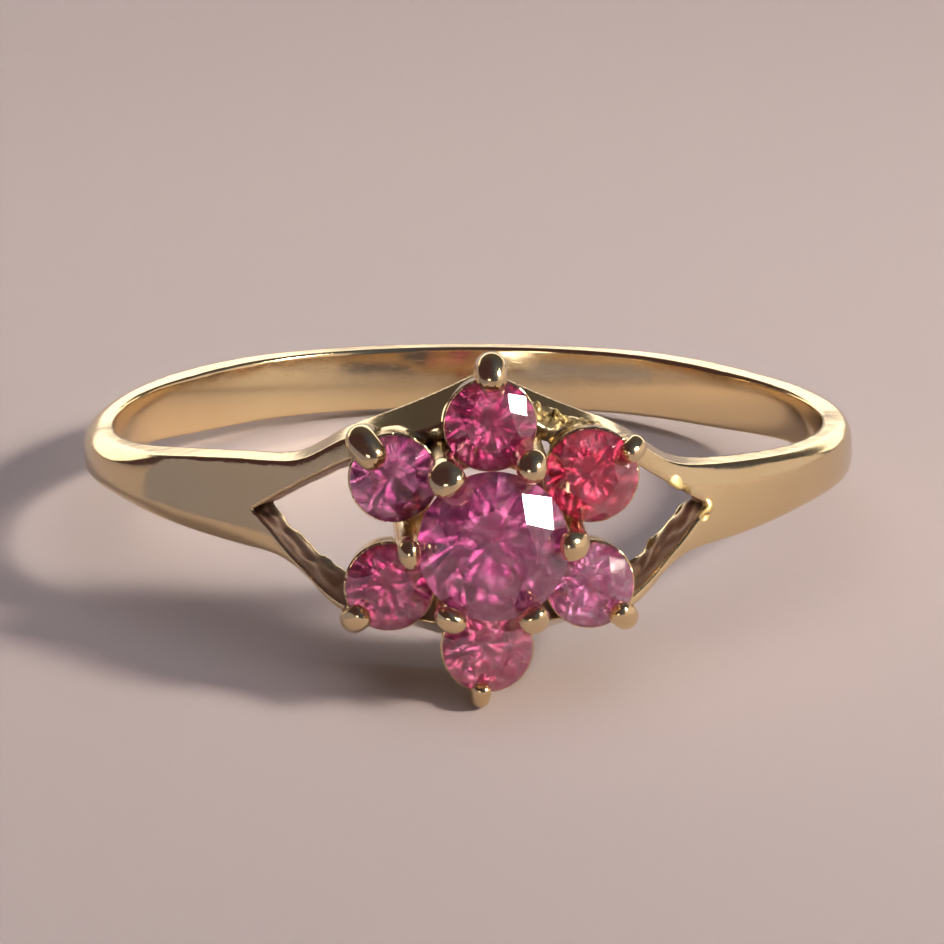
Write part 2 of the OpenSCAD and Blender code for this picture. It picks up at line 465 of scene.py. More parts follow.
@dataclass(frozen=True)
class Cups:
    """Sizes of the petal seats, the centre seat and the ring under them.

    Attributes:
        rim_over: How much wider a petal's seat is than its stone.
        rim_drop: How far its rim lies below the girdle.
        foot_level: Height of its foot over the bore's centre.
        foot_share: Radius of its foot, as a share of its rim's.
        bulge: Power of its taper; the lower, the fuller the cup.
        rim_edge: Radius of its edges.
        well_share: Radius of the open well under a stone, as a share of the stone's.
        stone_gap: Room between a stone and the gold.
        cone_lean: How much of a level wall's distance is counted beside the stone's cone.
        weld: Radius of the solder fillets.
        ring_r: Middle radius of the inner gallery ring.
        ring_half: Half the thickness of its wall.
        ring_low: Height of its foot over the bore's centre.
        ring_high: Height of its top over the bore's centre.
        ring_edge: Radius of its edges.
        seat_r: Middle radius of the centre seat at its top.
        seat_half: Half the thickness of its wall.
        seat_height: Its height.
        seat_taper: How fast it narrows on the way down.
        seat_edge: Radius of its edges.
    """

    rim_over: float = 0.05
    rim_drop: float = 0.05
    foot_level: float = 9.45
    foot_share: float = 0.78
    bulge: float = 0.65
    rim_edge: float = 0.035
    well_share: float = 0.5
    stone_gap: float = 0.03
    cone_lean: float = 0.75
    weld: float = 0.16
    ring_r: float = 1.68
    ring_half: float = 0.28
    ring_low: float = 9.5
    ring_high: float = 10.3
    ring_edge: float = 0.08
    seat_r: float = 1.52
    seat_half: float = 0.14
    seat_height: float = 0.85
    seat_taper: float = 0.22
    seat_edge: float = 0.03


@dataclass(frozen=True)
class SolderPatch:
    """A lumpy patch of solder.

    Attributes:
        u: Place of its middle to the right.
        v: Place of its middle up the flower.
        w: Place of its middle forward.
        reach: Radius of the patch.
        height: Height of its lumps.
        core: Radius in which it is full, as a share of its reach.
        base: Thickness under its lumps, as a share of their height.
        grain: How much finer its lumps are than the casting's.
    """

    u: float
    v: float
    w: float
    reach: float
    height: float
    core: float = 0.3
    base: float = 0.5
    grain: float = 2.1

    def share(self, u: Field, v: Field, w: Field) -> Field:
        """How full the patch is at each place, from 0 to 1."""
        away = np.hypot(np.hypot(u - self.u, v - self.v), w - self.w)
        return smoothstep(self.reach, self.core * self.reach, away)


SOLDER = (
    SolderPatch(1.45, 2.65, 9.7, 0.7, 0.13),
    SolderPatch(2.15, 2.35, 9.6, 0.6, 0.1),
    SolderPatch(4.35, 0.62, 8.75, 0.26, 0.035),
    SolderPatch(4.6, 0.42, 8.6, 0.2, 0.04),
    SolderPatch(5.12, 0.0, 8.25, 0.22, 0.08),
    SolderPatch(5.04, -0.18, 8.3, 0.2, 0.07),
    SolderPatch(4.65, -0.48, 7.6, 0.2, 0.06),
    SolderPatch(3.87, -0.99, 7.85, 0.24, 0.08),
    SolderPatch(3.46, -1.66, 8.09, 0.26, 0.09),
)


@dataclass(frozen=True)
class ShadeAndWearMarks:
    """Where the gold is sheltered and darkened with grime and painted shade, rough as cast or soldered.

    Attributes:
        shelter_reach: How far out a point looks for other metal, to find the corners that get painted
            shade.
        under_skin: Border of the rough walls below the band's skin.
        beside_wall: Border of the rough walls beside an opening.
        over_bore: Border of the rough walls over the bore.
        solder_gain: How fast the solder's mask fills up.
    """

    shelter_reach: float = 0.3
    under_skin: Border = (-0.04, -0.1)
    beside_wall: Border = (0.1, 0.03)
    over_bore: Border = (0.12, 0.3)
    solder_gain: float = 1.6


@dataclass(frozen=True)
class MeshSteps:
    """Spacing of the lattice on which the metal is meshed.

    Attributes:
        head_arc: Step of the angle in the head, in radians.
        band_arc: Step of the angle in the band.
        head_angle: Angle from the front at which the head ends.
        ease_angle: Angle over which the step grows.
        across: Step of the radius and the height.
        low_r: Lowest radius of the lattice.
        high_r: Highest radius of the lattice.
        half_z: Half-height of the lattice.
        eases: How far each round of settling evens out the net.
        probe: Half the distance over which a slope is measured.
    """

    head_arc: float = 0.0064
    band_arc: float = 0.0165
    head_angle: float = 0.66
    ease_angle: float = 0.12
    across: float = 0.0635
    low_r: float = 8.5
    high_r: float = 12.6
    half_z: float = 3.75
    eases: tuple[float, ...] = (0.5, 0.35, 0.0, 0.0)
    probe: float = 0.004


class SurfaceNet:
    """Meshes the zero level of a field on a lattice that closes round the band."""

    def __init__(self, axes: tuple[Field, Field, Field], values: Field) -> None:
        """Keep the lattice.

        Args:
            axes: Angles, radii and heights of the lattice.
            values: The field on the lattice, in the same order.
        """
        self.axes = axes
        self.values = values
        self.shape = values.shape

    def mesh(self) -> tuple[Points, np.ndarray]:
        """Make the net: a vertex in each crossed cell and a quad round each crossed edge.

        Returns:
            Vertices in the head frame, and quads of vertex indices.
        """
        cells, offsets = [], []
        for axis in range(3):
            found = self._crossings(axis)
            cells.append(found[0].ravel())
            offsets.append(found[1].reshape(-1, 3))
        used, index = np.unique(np.concatenate(cells), return_inverse=True)
        steps = np.concatenate(offsets)
        count = np.bincount(index)
        middle = np.stack([np.bincount(index, steps[:, k]) / count for k in range(3)], axis=1)
        places = np.stack(np.unravel_index(used, self.shape), axis=1) + middle
        return self._to_head(places), index.reshape(-1, 4)

    def _crossings(self, axis: int) -> tuple[np.ndarray, np.ndarray]:
        """Find the lattice edges along one axis that the surface crosses.

        Args:
            axis: The axis of the edges.

        Returns:
            The four cells round each crossed edge, and the crossing's place in each of them.
        """
        ahead = np.roll(self.values, -1, axis)
        crossed = (self.values < 0) != (ahead < 0)
        if axis:
            crossed[(slice(None),) * axis + (-1,)] = False
        node = np.stack(np.nonzero(crossed), axis=1)
        start, end = self.values[crossed], ahead[crossed]
        share = start / (start - end)
        left, right = (axis + 1) % 3, (axis + 2) % 3
        cells, offsets = [], []
        for back_left, back_right in ((0, 0), (1, 0), (1, 1), (0, 1)):
            cell = node.copy()
            cell[:, left] -= back_left
            cell[:, right] -= back_right
            offset = np.zeros((len(node), 3))
            offset[:, axis] = share
            offset[:, left] = back_left
            offset[:, right] = back_right
            cell[:, 0] %= self.shape[0]
            cells.append(np.ravel_multi_index(cell.T, self.shape))
            offsets.append(offset)
        cells, offsets = np.stack(cells, axis=1), np.stack(offsets, axis=1)
        inward = start > 0
        cells[inward] = cells[inward][:, ::-1]
        offsets[inward] = offsets[inward][:, ::-1]
        return cells, offsets

    def _to_head(self, places: Points) -> Points:
        """Turn places on the lattice into points.

        Args:
            places: Places counted in lattice steps.

        Returns:
            The points in the head frame.
        """
        angle_axis = np.append(self.axes[0], self.axes[0][0] + 2 * math.pi)
        angle = np.interp(places[:, 0], np.arange(len(angle_axis)), angle_axis)
        radius = np.interp(places[:, 1], np.arange(self.shape[1]), self.axes[1])
        height = np.interp(places[:, 2], np.arange(self.shape[2]), self.axes[2])
        return np.stack((radius * np.sin(angle), height, radius * np.cos(angle)), axis=1)


class NodeSheet:
    """Adds and joins the nodes of one tree."""

    def __init__(self, tree: bpy.types.NodeTree) -> None:
        """Keep the tree that is written on."""
        self.tree = tree

    def add(self, kind: str, inputs: dict | None = None, **settings: object) -> bpy.types.Node:
        """Add a node.

        Args:
            kind: The node's type.
            inputs: Values or source sockets, by the name or the number of the input.
            settings: Properties of the node.

        Returns:
            The new node.
        """
        node = self.tree.nodes.new(kind)
        for name, value in settings.items():
            setattr(node, name, value)
        for key, value in (inputs or {}).items():
            self.feed(node.inputs[key], value)
        return node

    def first(self, kind: str, inputs: dict | None = None, **settings: object) -> bpy.types.NodeSocket:
        """Add a node and take its first output."""
        return self.add(kind, inputs, **settings).outputs[0]

    def feed(self, socket: bpy.types.NodeSocket, value: object) -> None:
        """Give a socket a value, or a link from another socket.

        Args:
            socket: The socket.
            value: The value or the other socket.
        """
        if isinstance(value, bpy.types.NodeSocket):
            self.tree.links.new(value, socket)
        else:
            socket.default_value = value

    def math(self, operation: str, *values: object, clamp: bool = False) -> bpy.types.NodeSocket:
        """Result of a Math node.

        Args:
            operation: The node's operation.
            values: Its inputs, in order.
            clamp: Whether the result is held between 0 and 1.

        Returns:
            The output socket.
        """
        return self.first("ShaderNodeMath", dict(enumerate(values)), operation=operation, use_clamp=clamp)

    def mix(self, share: object, first: object, second: object) -> bpy.types.NodeSocket:
        """Colour between two colours.

        Args:
            share: Share of the second colour.
            first: The first colour.
            second: The second colour.

        Returns:
            The output socket.
        """
        node = self.add("ShaderNodeMix", data_type="RGBA")
        for name, value in (("Factor_Float", share), ("A_Color", first), ("B_Color", second)):
            socket = next(s for s in node.inputs if s.identifier == name)
            self.feed(socket, value)
        return next(s for s in node.outputs if s.identifier == "Result_Color")

    def noise(
        self, place: bpy.types.NodeSocket, scale: float, detail: float, distortion: float = 0.0
    ) -> bpy.types.NodeSocket:
        """Value of a noise texture."""
        inputs = {"Vector": place, "Scale": scale, "Detail": detail, "Distortion": distortion}
        return self.first("ShaderNodeTexNoise", inputs)

    def ramp(self, value: bpy.types.NodeSocket, low: float, high: float) -> bpy.types.NodeSocket:
        """Value stretched so that low gives 0 and high gives 1."""
        inputs = {"Value": value, "From Min": low, "From Max": high}
        return self.first("ShaderNodeMapRange", inputs)

    def attribute(self, name: str) -> bpy.types.NodeSocket:
        """Value that a mesh carries under a name."""
        return self.add("ShaderNodeAttribute", attribute_name=name).outputs["Fac"]

    def finish(self, geometry: bpy.types.NodeSocket, finish: bpy.types.NodeSocket) -> None:
        """End a Geometry Nodes tree: make its result real and give it its material.

        Args:
            geometry: The result.
            finish: The material.
        """
        real = self.first("GeometryNodeRealizeInstances", {"Geometry": geometry})
        dressed = self.first("GeometryNodeSetMaterial", {"Geometry": real, "Material": finish})
        self.add("NodeGroupOutput", {"Geometry": dressed})

    def dress(self, values: dict) -> None:
        """Give the material's shader its values and sources.

        Args:
            values: Values or source sockets, by the name of the shader's input.
        """
        shader = self.tree.nodes["Principled BSDF"]
        for name, value in values.items():
            self.feed(shader.inputs[name], value)

    def socket(self, name: str, kind: str, value: object = None, out: bool = False) -> None:
        """Add an input or an output to the tree.

        Args:
            name: The socket's name.
            kind: The socket's type, without its prefix.
            value: Its value where nothing is joined to it.
            out: Whether it is an output.
        """
        made = self.tree.interface.new_socket(
            name, in_out="OUTPUT" if out else "INPUT", socket_type=f"NodeSocket{kind}"
        )
        if value is not None:
            made.default_value = value


def new_material(name: str) -> tuple[bpy.types.Material, NodeSheet]:
    """Make a material with nodes.

    Args:
        name: Its name.

    Returns:
        The material and the sheet of its nodes.
    """
    made = bpy.data.materials.new(name)
    made.use_nodes = True
    return made, NodeSheet(made.node_tree)


def add_piece(name: str, mesh: bpy.types.Mesh) -> bpy.types.Object:
    """Link a mesh to the scene as a piece at the origin.

    Args:
        name: Name of the piece.
        mesh: Its mesh.

    Returns:
        The piece.
    """
    piece = bpy.data.objects.new(name, mesh)
    bpy.context.scene.collection.objects.link(piece)
    return piece


def flat_piece(name: str, corners: list[Triple], material: bpy.types.Material) -> bpy.types.Object:
    """Make a piece of one flat face.

    Args:
        name: Name of the piece.
        corners: Corners of the face, in metres.
        material: Its material.

    Returns:
        The piece.
    """
    mesh = bpy.data.meshes.new(name)
    mesh.from_pydata(corners, [], [tuple(range(len(corners)))])
    mesh.materials.append(material)
    return add_piece(name, mesh)


def move_points(piece: bpy.types.Object, places: Points) -> None:
    """Move a piece's vertices to new places, in metres."""
    piece.data.vertices.foreach_set("co", places.ravel())
    piece.data.update()


def grown(name: str, seed: bpy.types.Mesh, tree: bpy.types.NodeTree, inputs: dict) -> bpy.types.Object:
    """Run a Geometry Nodes tree on a mesh and keep the plain result.

    Args:
        name: Name of the piece.
        seed: Mesh that the tree starts from.
        tree: The tree.
        inputs: Values of the tree's named inputs.

    Returns:
        The piece, with no modifier left on it.
    """
    piece = add_piece(name, seed)
    modifier = piece.modifiers.new("build", "NODES")
    modifier.node_group = tree
    for item in tree.interface.items_tree:
        if item.item_type == "SOCKET" and item.in_out == "INPUT" and item.name in inputs:
            modifier[item.identifier] = inputs[item.name]
    bpy.context.view_layer.update()
    result = bpy.data.meshes.new_from_object(piece.evaluated_get(bpy.context.evaluated_depsgraph_get()))
    piece.modifiers.clear()
    piece.data = result
    result.name = name
    return piece


class GoldShade(Enum):
    """The two makings of the same gold."""

    POLISHED = "polished_gold"
    CLAW = "claw_gold"


@dataclass(frozen=True)
class MetalWear:
    """Node group of fine scratches, soft dents and worn tone that every gold piece uses.

    Attributes:
        name: Name of the group.
        dent_scale: Scale of the soft dents.
        grain_scale: Scale of the fine grain.
        tone_scale: Scale of the worn tone.
        grain_height: Height of the grain beside the dents'.
        scratch_depth: Depth of the scratches beside the dents'.
        marked: How much rougher scratches and grain are.
        turns: Rotation of each set of scratches.
        stretch: Scale of the scratches, along them and across.
        thread: Values of the noise at which a scratch starts and is full.
    """

    name: str = "metal_wear"
    dent_scale: float = 900.0
    grain_scale: float = 9000.0
    tone_scale: float = 420.0
    grain_height: float = 0.006
    scratch_depth: float = 0.03
    marked: float = 0.08
    turns: tuple[Triple, ...] = ((0.4, 0.2, 0.9), (1.3, 0.8, 2.4))
    stretch: Triple = (700.0, 16000.0, 16000.0)
    thread: Border = (0.66, 0.74)

    def group(self) -> bpy.types.NodeTree:
        """Make the group, or find it.

        Returns:
            The node group, with outputs Tone, Rough and Height.
        """
        if self.name in bpy.data.node_groups:
            return bpy.data.node_groups[self.name]
        tree = bpy.data.node_groups.new(self.name, "ShaderNodeTree")
        sheet = NodeSheet(tree)
        sheet.socket("Dents", "Float", 1.0)
        for name in ("Tone", "Rough", "Height"):
            sheet.socket(name, "Float", out=True)
        given = sheet.add("NodeGroupInput").outputs
        place = sheet.add("ShaderNodeTexCoord").outputs["Object"]
        dents = sheet.math("MULTIPLY", sheet.noise(place, self.dent_scale, 2.0), given["Dents"])
        grain = sheet.noise(place, self.grain_scale, 3.0)
        lines = [self._scratches(sheet, place, turn) for turn in self.turns]
        marks = sheet.math("MAXIMUM", *lines)
        height = sheet.math("MULTIPLY_ADD", grain, self.grain_height, dents)
        height = sheet.math("MULTIPLY_ADD", marks, -self.scratch_depth, height)
        rough = sheet.math("MULTIPLY_ADD", marks, self.marked, sheet.math("MULTIPLY", grain, self.marked))
        tone = sheet.noise(place, self.tone_scale, 4.0)
        sheet.add("NodeGroupOutput", {"Tone": tone, "Rough": rough, "Height": height})
        return tree

    def _scratches(
        self, sheet: NodeSheet, place: bpy.types.NodeSocket, turn: Triple
    ) -> bpy.types.NodeSocket:
        """Mask of thin straight scratches that run one way."""
        lie = {"Vector": place, "Rotation": turn, "Scale": self.stretch}
        return sheet.ramp(sheet.noise(sheet.first("ShaderNodeMapping", lie), 1.0, 1.0), *self.thread)


@dataclass(frozen=True)
class GoldFinish:
    """Pale yellow gold, bright where it is worn and brown in sheltered corners, from grime and painted
    shade.

    Attributes:
        shade: Which making of the gold it is.
        colour: Colour of the polished metal.
        warm: Colour of the more coppery patches.
        grime_and_shade: Colour of the sheltered corners, grime together with painted shade.
        raw: Colour of the faces that were left as cast.
        solder: Colour of the solder.
        roughness: Roughness of the polished metal.
        raw_roughness: Roughness of the faces that were left as cast.
        grime_roughness: How much rougher the sheltered corners are.
        solder_roughness: How much rougher the solder is.
        dents: Strength of the soft dents.
        cast_scale: Scale of the casting's skin.
        cast_height: Height of the casting's skin beside the dents'.
        bump: Strength of all this relief.
        bump_depth: Depth of it, in metres.
    """

    shade: GoldShade
    colour: Colour = (0.88, 0.71, 0.44)
    warm: Colour = (0.83, 0.61, 0.32)
    grime_and_shade: Colour = (0.12, 0.06, 0.03)
    raw: Colour = (0.70, 0.48, 0.36)
    solder: Colour = (0.98, 0.76, 0.34)
    roughness: float = 0.09
    raw_roughness: float = 0.5
    grime_roughness: float = 0.25
    solder_roughness: float = 0.36
    dents: float = 1.0
    cast_scale: float = 2600.0
    cast_height: float = 2.2
    bump: float = 0.5
    bump_depth: float = 0.00002

    def material(self) -> bpy.types.Material:
        """Make the material.

        Returns:
            The gold material.
        """
        made, sheet = new_material(self.shade.value)
        wear = sheet.add("ShaderNodeGroup", {"Dents": self.dents}, node_tree=MetalWear().group()).outputs
        crevice_shade_and_grime, raw, solder = (sheet.attribute(name) for name in ("crevice_shade_and_grime", "raw", "solder"))
        # Sheltered corners are darkened towards brown: grime together with painted shade.
        grime_and_shade = sheet.math("MULTIPLY", crevice_shade_and_grime, sheet.math("ADD", wear["Tone"], 0.5), clamp=True)
        colour = sheet.mix(wear["Tone"], (*self.colour, 1), (*self.warm, 1))
        for share, tint in ((raw, self.raw), (solder, self.solder), (grime_and_shade, self.grime_and_shade)):
            colour = sheet.mix(share, colour, (*tint, 1))
        rough = sheet.math("MULTIPLY_ADD", raw, self.raw_roughness - self.roughness, self.roughness)
        rough = sheet.math("ADD", rough, wear["Rough"])
        rough = sheet.math("MULTIPLY_ADD", grime_and_shade, self.grime_roughness, rough)
        rough = sheet.math("MULTIPLY_ADD", solder, self.solder_roughness, rough)
        cast = sheet.noise(sheet.add("ShaderNodeTexCoord").outputs["Object"], self.cast_scale, 4.0)
        lumps = sheet.math("MULTIPLY", cast, sheet.math("MULTIPLY", raw, self.cast_height))
        height = sheet.math("ADD", wear["Height"], lumps)
        relief = {"Strength": self.bump, "Distance": self.bump_depth, "Height": height}
        normal = sheet.first("ShaderNodeBump", relief)
        sheet.dress({"Base Color": colour, "Metallic": 1.0, "Roughness": rough, "Normal": normal})
        return made


@dataclass(frozen=True)
class Inclusions:
    """Node group of clouds and veils that every stone uses.

    Attributes:
        name: Name of the group.
        scale: Scale of the clouds.
        detail: Detail of the clouds.
        distortion: How far the clouds are drawn out.
        cloudy: Values of the noise at which a cloud starts and is full.
        roughness: How much rougher a cloud is.
    """

    name: str = "inclusions"
    scale: float = 2100.0
    detail: float = 6.0
    distortion: float = 1.4
    cloudy: Border = (0.47, 0.6)
    roughness: float = 0.06

    def group(self) -> bpy.types.NodeTree:
        """Make the group, or find it.

        Returns:
            The node group, with outputs Color, Rough and Height.
        """
        if self.name in bpy.data.node_groups:
            return bpy.data.node_groups[self.name]
        tree = bpy.data.node_groups.new(self.name, "ShaderNodeTree")
        sheet = NodeSheet(tree)
        for name in ("Clear", "Cloud"):
            sheet.socket(name, "Color")
        sheet.socket("Color", "Color", out=True)
        for name in ("Rough", "Height"):
            sheet.socket(name, "Float", out=True)
        given = sheet.add("NodeGroupInput").outputs
        place = sheet.add("ShaderNodeTexCoord").outputs["Object"]
        cloud = sheet.noise(place, self.scale, self.detail, self.distortion)
        mask = sheet.ramp(cloud, *self.cloudy)
        colour = sheet.mix(mask, given["Clear"], given["Cloud"])
        rough = sheet.math("MULTIPLY", mask, self.roughness)
        sheet.add("NodeGroupOutput", {"Color": colour, "Rough": rough, "Height": cloud})
        return tree


@dataclass(frozen=True)
class GemFinish:
    """Included ruby glass, with veils and clouds under its facets.

    Attributes:
        name: Name of the material.
        colour: Colour of the clear stone.
        cloud: Colour of its clouds.
        depth: Colour that light keeps inside it.
        density: How fast light takes that colour, per metre.
        clarity: Share of the light that passes into it.
        haze: Roughness of its facets under their polish.
        polish: Strength of the polish.
        ior: Its index of refraction.
        bump: Strength of the relief that its clouds give its facets.
        bump_depth: Depth of that relief, in metres.
    """

    name: str
    colour: Colour
    cloud: Colour
    depth: Colour
    density: float
    clarity: float = 0.9
    haze: float = 0.09
    polish: float = 0.8
    ior: float = 1.77
    bump: float = 0.13
    bump_depth: float = 0.00002

    def material(self) -> bpy.types.Material:
        """Make the material.

        Returns:
            The stone's material.
        """
        made, sheet = new_material(self.name)
        tints = {"Clear": (*self.colour, 1), "Cloud": (*self.cloud, 1)}
        veil = sheet.add("ShaderNodeGroup", tints, node_tree=Inclusions().group()).outputs
        relief = {"Strength": self.bump, "Distance": self.bump_depth, "Height": veil["Height"]}
        sheet.dress({
            "Base Color": veil["Color"], "Roughness": sheet.math("ADD", veil["Rough"], self.haze),
            "Transmission Weight": self.clarity, "IOR": self.ior,
            "Normal": sheet.first("ShaderNodeBump", relief),
            "Coat Weight": self.polish, "Coat Roughness": 0.0, "Coat IOR": self.ior,
        })
        taken = {"Color": (*self.depth, 1), "Density": self.density}
        inside = sheet.first("ShaderNodeVolumeAbsorption", taken)
        sheet.feed(made.node_tree.nodes["Material Output"].inputs["Volume"], inside)
        return made


class GoldBody:
    """The band, its split shoulders, the gallery rails and the seats, as one soldered skin."""

    name = "gold_body"

    def __init__(self, ring: RingFrame, centre: StonePlace, petals: list[StonePlace]) -> None:
        """Keep what the metal is built round.

        Args:
            ring: The ring's frame.
            centre: Place of the centre stone.
            petals: Places of the petal stones.
        """
        self.ring = ring
        self.centre = centre
        self.petals = petals
        self.shank = Shank()
        self.window = Window()
        self.cups = Cups()
        self.patches = SOLDER
        self.marks = ShadeAndWearMarks()
        self.ripples = Ripples()
        self.steps = MeshSteps()

    def distance(self, u: Field, v: Field, w: Field) -> Field:
        """Rough distance to the metal's surface, negative inside.

        Args:
            u: Places to the right.
            v: Places up the flower.
            w: Places forward.

        Returns:
            The distances.
        """
        radius = np.hypot(u, w)
        lift = self._lift(u, v, w)
        metal = self._band(u, v - lift, w, radius)
        metal = meet(metal, -self._opening(u, v + self._drop(u, v, w), w, radius), self.window.edge)
        for petal in self.petals:
            metal = join(metal, self._cup(petal, u, v, w), self.cups.weld)
        metal = join(metal, self._gallery_ring(u, v, w), self.cups.weld)
        metal = np.minimum(metal, self._centre_seat(u, v, w))
        metal = metal - self._solder(u, v, w)
        bore = self.ring.bore_r + self.shank.bore_fall * np.minimum((v - lift) ** 2, self.shank.bore_flat)
        metal = meet(metal, bore - radius, self.shank.inner_edge)
        for petal in self.petals:
            metal = np.maximum(metal, -self._hollow(petal, u, v, w))
        return metal

    def _lift(self, u: Field, v: Field, w: Field) -> Field:
        """How far the band is bent up at each place.

        Args:
            u: Places to the right.
            v: Places up the flower.
            w: Places forward.

        Returns:
            The lifts.
        """
        shank = self.shank
        front = shank.front_lift.at(u) * shank.lift_zone.share(u, v, w)
        return front + shank.back_lift * smoothstep(*shank.back_border, w) - self._drop(u, v, w)

    def _drop(self, u: Field, v: Field, w: Field) -> Field:
        """How far the lower arms are bent down at each place."""
        return self.shank.arm_drop.at(np.abs(u)) * self.shank.drop_zone.share(u, v, w)

    def _half_width(self, reach: Field, v: Field, w: Field) -> tuple[Field, Field]:
        """Half-width of the band and how fast it changes.

        Args:
            reach: Distances from the middle, to the left or the right.
            v: Places up the flower.
            w: Places forward.

        Returns:
            The half-widths, and their slopes along the reach.
        """
        shank = self.shank
        side = shank.half_width.points[-1][1]
        shoulder = smoothstep(*shank.shoulders, w)
        back = side + (shank.back_half - side) * smoothstep(0.0, -self.ring.bore_r, w)
        half = back + (shank.half_width.at(reach) - side) * shoulder
        half = half - shank.lower_trim * (v < 0) * shank.trim_zone.share(reach, v, w)
        return half, shank.half_width.slope(reach) * shoulder

    def _band(self, u: Field, v: Field, w: Field, radius: Field) -> Field:
        """Distance to the band with its shoulders and rails, before it is opened.

        Args:
            u: Places to the right.
            v: Places up the flower.
            w: Places forward.
            radius: Distances from the bore's axis.

        Returns:
            The distances.
        """
        shank = self.shank
        reach = np.abs(u)
        angle = np.arctan2(reach, w)
        half, slope = self._half_width(reach, v, w)
        across = np.minimum(np.abs(v) / half, shank.past_edge)
        upper_left = 1 - shank.left_fullness * shank.left_zone.share(u, v, w)
        lower = 1 - shank.lower_fullness * shank.lower_zone.share(u, v, w)
        fall = shank.fall.at(angle) * upper_left * lower
        skin = radius + fall * across**shank.fullness - shank.crest_r.at(angle)
        lean = shank.lean * smoothstep(*shank.lean_border, reach) * (w > 0)
        sides = (np.abs(v) + lean * (radius - self.ring.bore_r) - half) / np.sqrt(1 + slope**2 + lean**2)
        edge = shank.outer_edge + shank.left_round * smoothstep(*shank.left_end, u)
        edge = edge + shank.right_round * shank.right_end.share(u, v, w)
        return meet(skin, sides, edge)

    def _opening(self, u: Field, v: Field, w: Field, radius: Field) -> Field:
        """Distance to the openings between the arms.

        Args:
            u: Places to the right.
            v: Places up the flower.
            w: Places forward.
            radius: Distances from the bore's axis.

        Returns:
            The distances.
        """
        window = self.window
        reach = np.abs(u)
        right = smoothstep(*window.side_border, u)
        upper = smoothstep(*window.level_border, v)
        upper_draft = window.upper_left_draft + (window.upper_right_draft - window.upper_left_draft) * right
        draft = window.lower_draft + (upper_draft - window.lower_draft) * upper
        gain = window.lower_gain * (1 - upper) * smoothstep(*window.gain_border, reach)
        near = (w > 0) * (reach < window.cast_reach) * (np.abs(v) < window.cast_half)
        share = smoothstep(*window.cast_border, radius) * (1 - window.upper_smoothness * upper) * near
        casting = window.roughness * self.ripples.at((u, v, w), share)
        along = reach - window.left_stretch * smoothstep(*window.stretch_border, u)
        half = window.half_height.at(along) + gain - draft * (window.front_r - radius) + casting
        slope = window.half_height.slope(along)
        walls = (np.abs(v) - half) / np.sqrt(1 + slope**2 + draft**2)
        return np.maximum(walls, -w)

    def _cup(self, petal: StonePlace, u: Field, v: Field, w: Field) -> Field:
        """Distance to the outside of a petal's seat.

        Args:
            petal: The petal's place.
            u: Places to the right.
            v: Places up the flower.
            w: Places forward.

        Returns:
            The distances.
        """
        cups = self.cups
        rim_level = petal.level - cups.rim_drop
        rim_r = petal.radius + cups.rim_over
        share = np.clip((w - cups.foot_level) / (rim_level - cups.foot_level), 0, 1)
        wide = rim_r * (cups.foot_share + (1 - cups.foot_share) * share**cups.bulge)
        side = np.hypot(u - petal.u, v - petal.v) - wide
        ends = np.maximum(w - rim_level, cups.foot_level - w)
        return meet(side, ends, cups.rim_edge)

    def _hollow(self, stone: StonePlace, u: Field, v: Field, w: Field) -> Field:
        """Distance to the room inside a seat: the stone's pavilion and the well below it.

        Args:
            stone: The stone's place.
            u: Places to the right.
            v: Places up the flower.
            w: Places forward.

        Returns:
            The distances.
        """
        cups = self.cups
        low_edge = stone.level - stone.cut.girdle / 2 * stone.diameter
        cone = stone.radius * (1 - (low_edge - w) / (stone.cut.pavilion * stone.diameter)) + cups.stone_gap
        cone = np.minimum(cone, stone.radius + cups.stone_gap)
        room = np.maximum(cone, cups.well_share * stone.radius)
        return np.maximum((np.hypot(u - stone.u, v - stone.v) - room) * cups.cone_lean, -w)

    def _gallery_ring(self, u: Field, v: Field, w: Field) -> Field:
        """Distance to the ring that joins the feet of the inner claws.

        Args:
            u: Places to the right.
            v: Places up the flower.
            w: Places forward.

        Returns:
            The distances.
        """
        cups = self.cups
        middle = (cups.ring_low + cups.ring_high) / 2
        wall = np.abs(np.hypot(u - self.centre.u, v - self.centre.v) - cups.ring_r) - cups.ring_half
        return meet(wall, np.abs(w - middle) - (cups.ring_high - cups.ring_low) / 2, cups.ring_edge)

    def _centre_seat(self, u: Field, v: Field, w: Field) -> Field:
        """Distance to the raised seat under the centre stone.

        Args:
            u: Places to the right.
            v: Places up the flower.
            w: Places forward.

        Returns:
            The distances.
        """
        cups = self.cups
        top = self.centre.level - self.centre.cut.girdle / 2 * self.centre.diameter - cups.stone_gap
        middle = top - cups.seat_height / 2
        reach = np.hypot(u - self.centre.u, v - self.centre.v)
        wall = np.abs(reach - cups.seat_r + cups.seat_taper * (top - w)) - cups.seat_half
        seat = meet(wall, np.abs(w - middle) - cups.seat_height / 2, cups.seat_edge)
        return np.maximum(seat, -self._hollow(self.centre, u, v, w))

    def _solder(self, u: Field, v: Field, w: Field) -> Field:
        """Height of the lumpy solder on the rail and round the right window.

        Args:
            u: Places to the right.
            v: Places up the flower.
            w: Places forward.

        Returns:
            The heights.
        """
        height = np.zeros_like(u)
        for patch in self.patches:
            share = patch.share(u, v, w)
            lumps = self.ripples.at((patch.grain * u, patch.grain * v, patch.grain * w), share)
            height += patch.height * (patch.base * share + lumps)
        return height

    def _lattice(self) -> tuple[Field, Field, Field]:
        """Lay out the lattice, closest together in the head.

        Returns:
            Its angles, radii and heights.
        """
        steps = self.steps
        eased = steps.head_angle + steps.ease_angle
        angles = [0.0]
        while angles[-1] < math.pi:
            share = float(smoothstep(steps.head_angle, eased, np.array(angles[-1])))
            angles.append(angles[-1] + steps.head_arc + (steps.band_arc - steps.head_arc) * share)
        half = np.array(angles[:-1])
        angle = np.concatenate((half, 2 * math.pi - half[:0:-1]))
        radius = np.arange(steps.low_r, steps.high_r, steps.across)
        height = np.arange(-steps.half_z, steps.half_z + steps.across, steps.across)
        return angle, radius, height

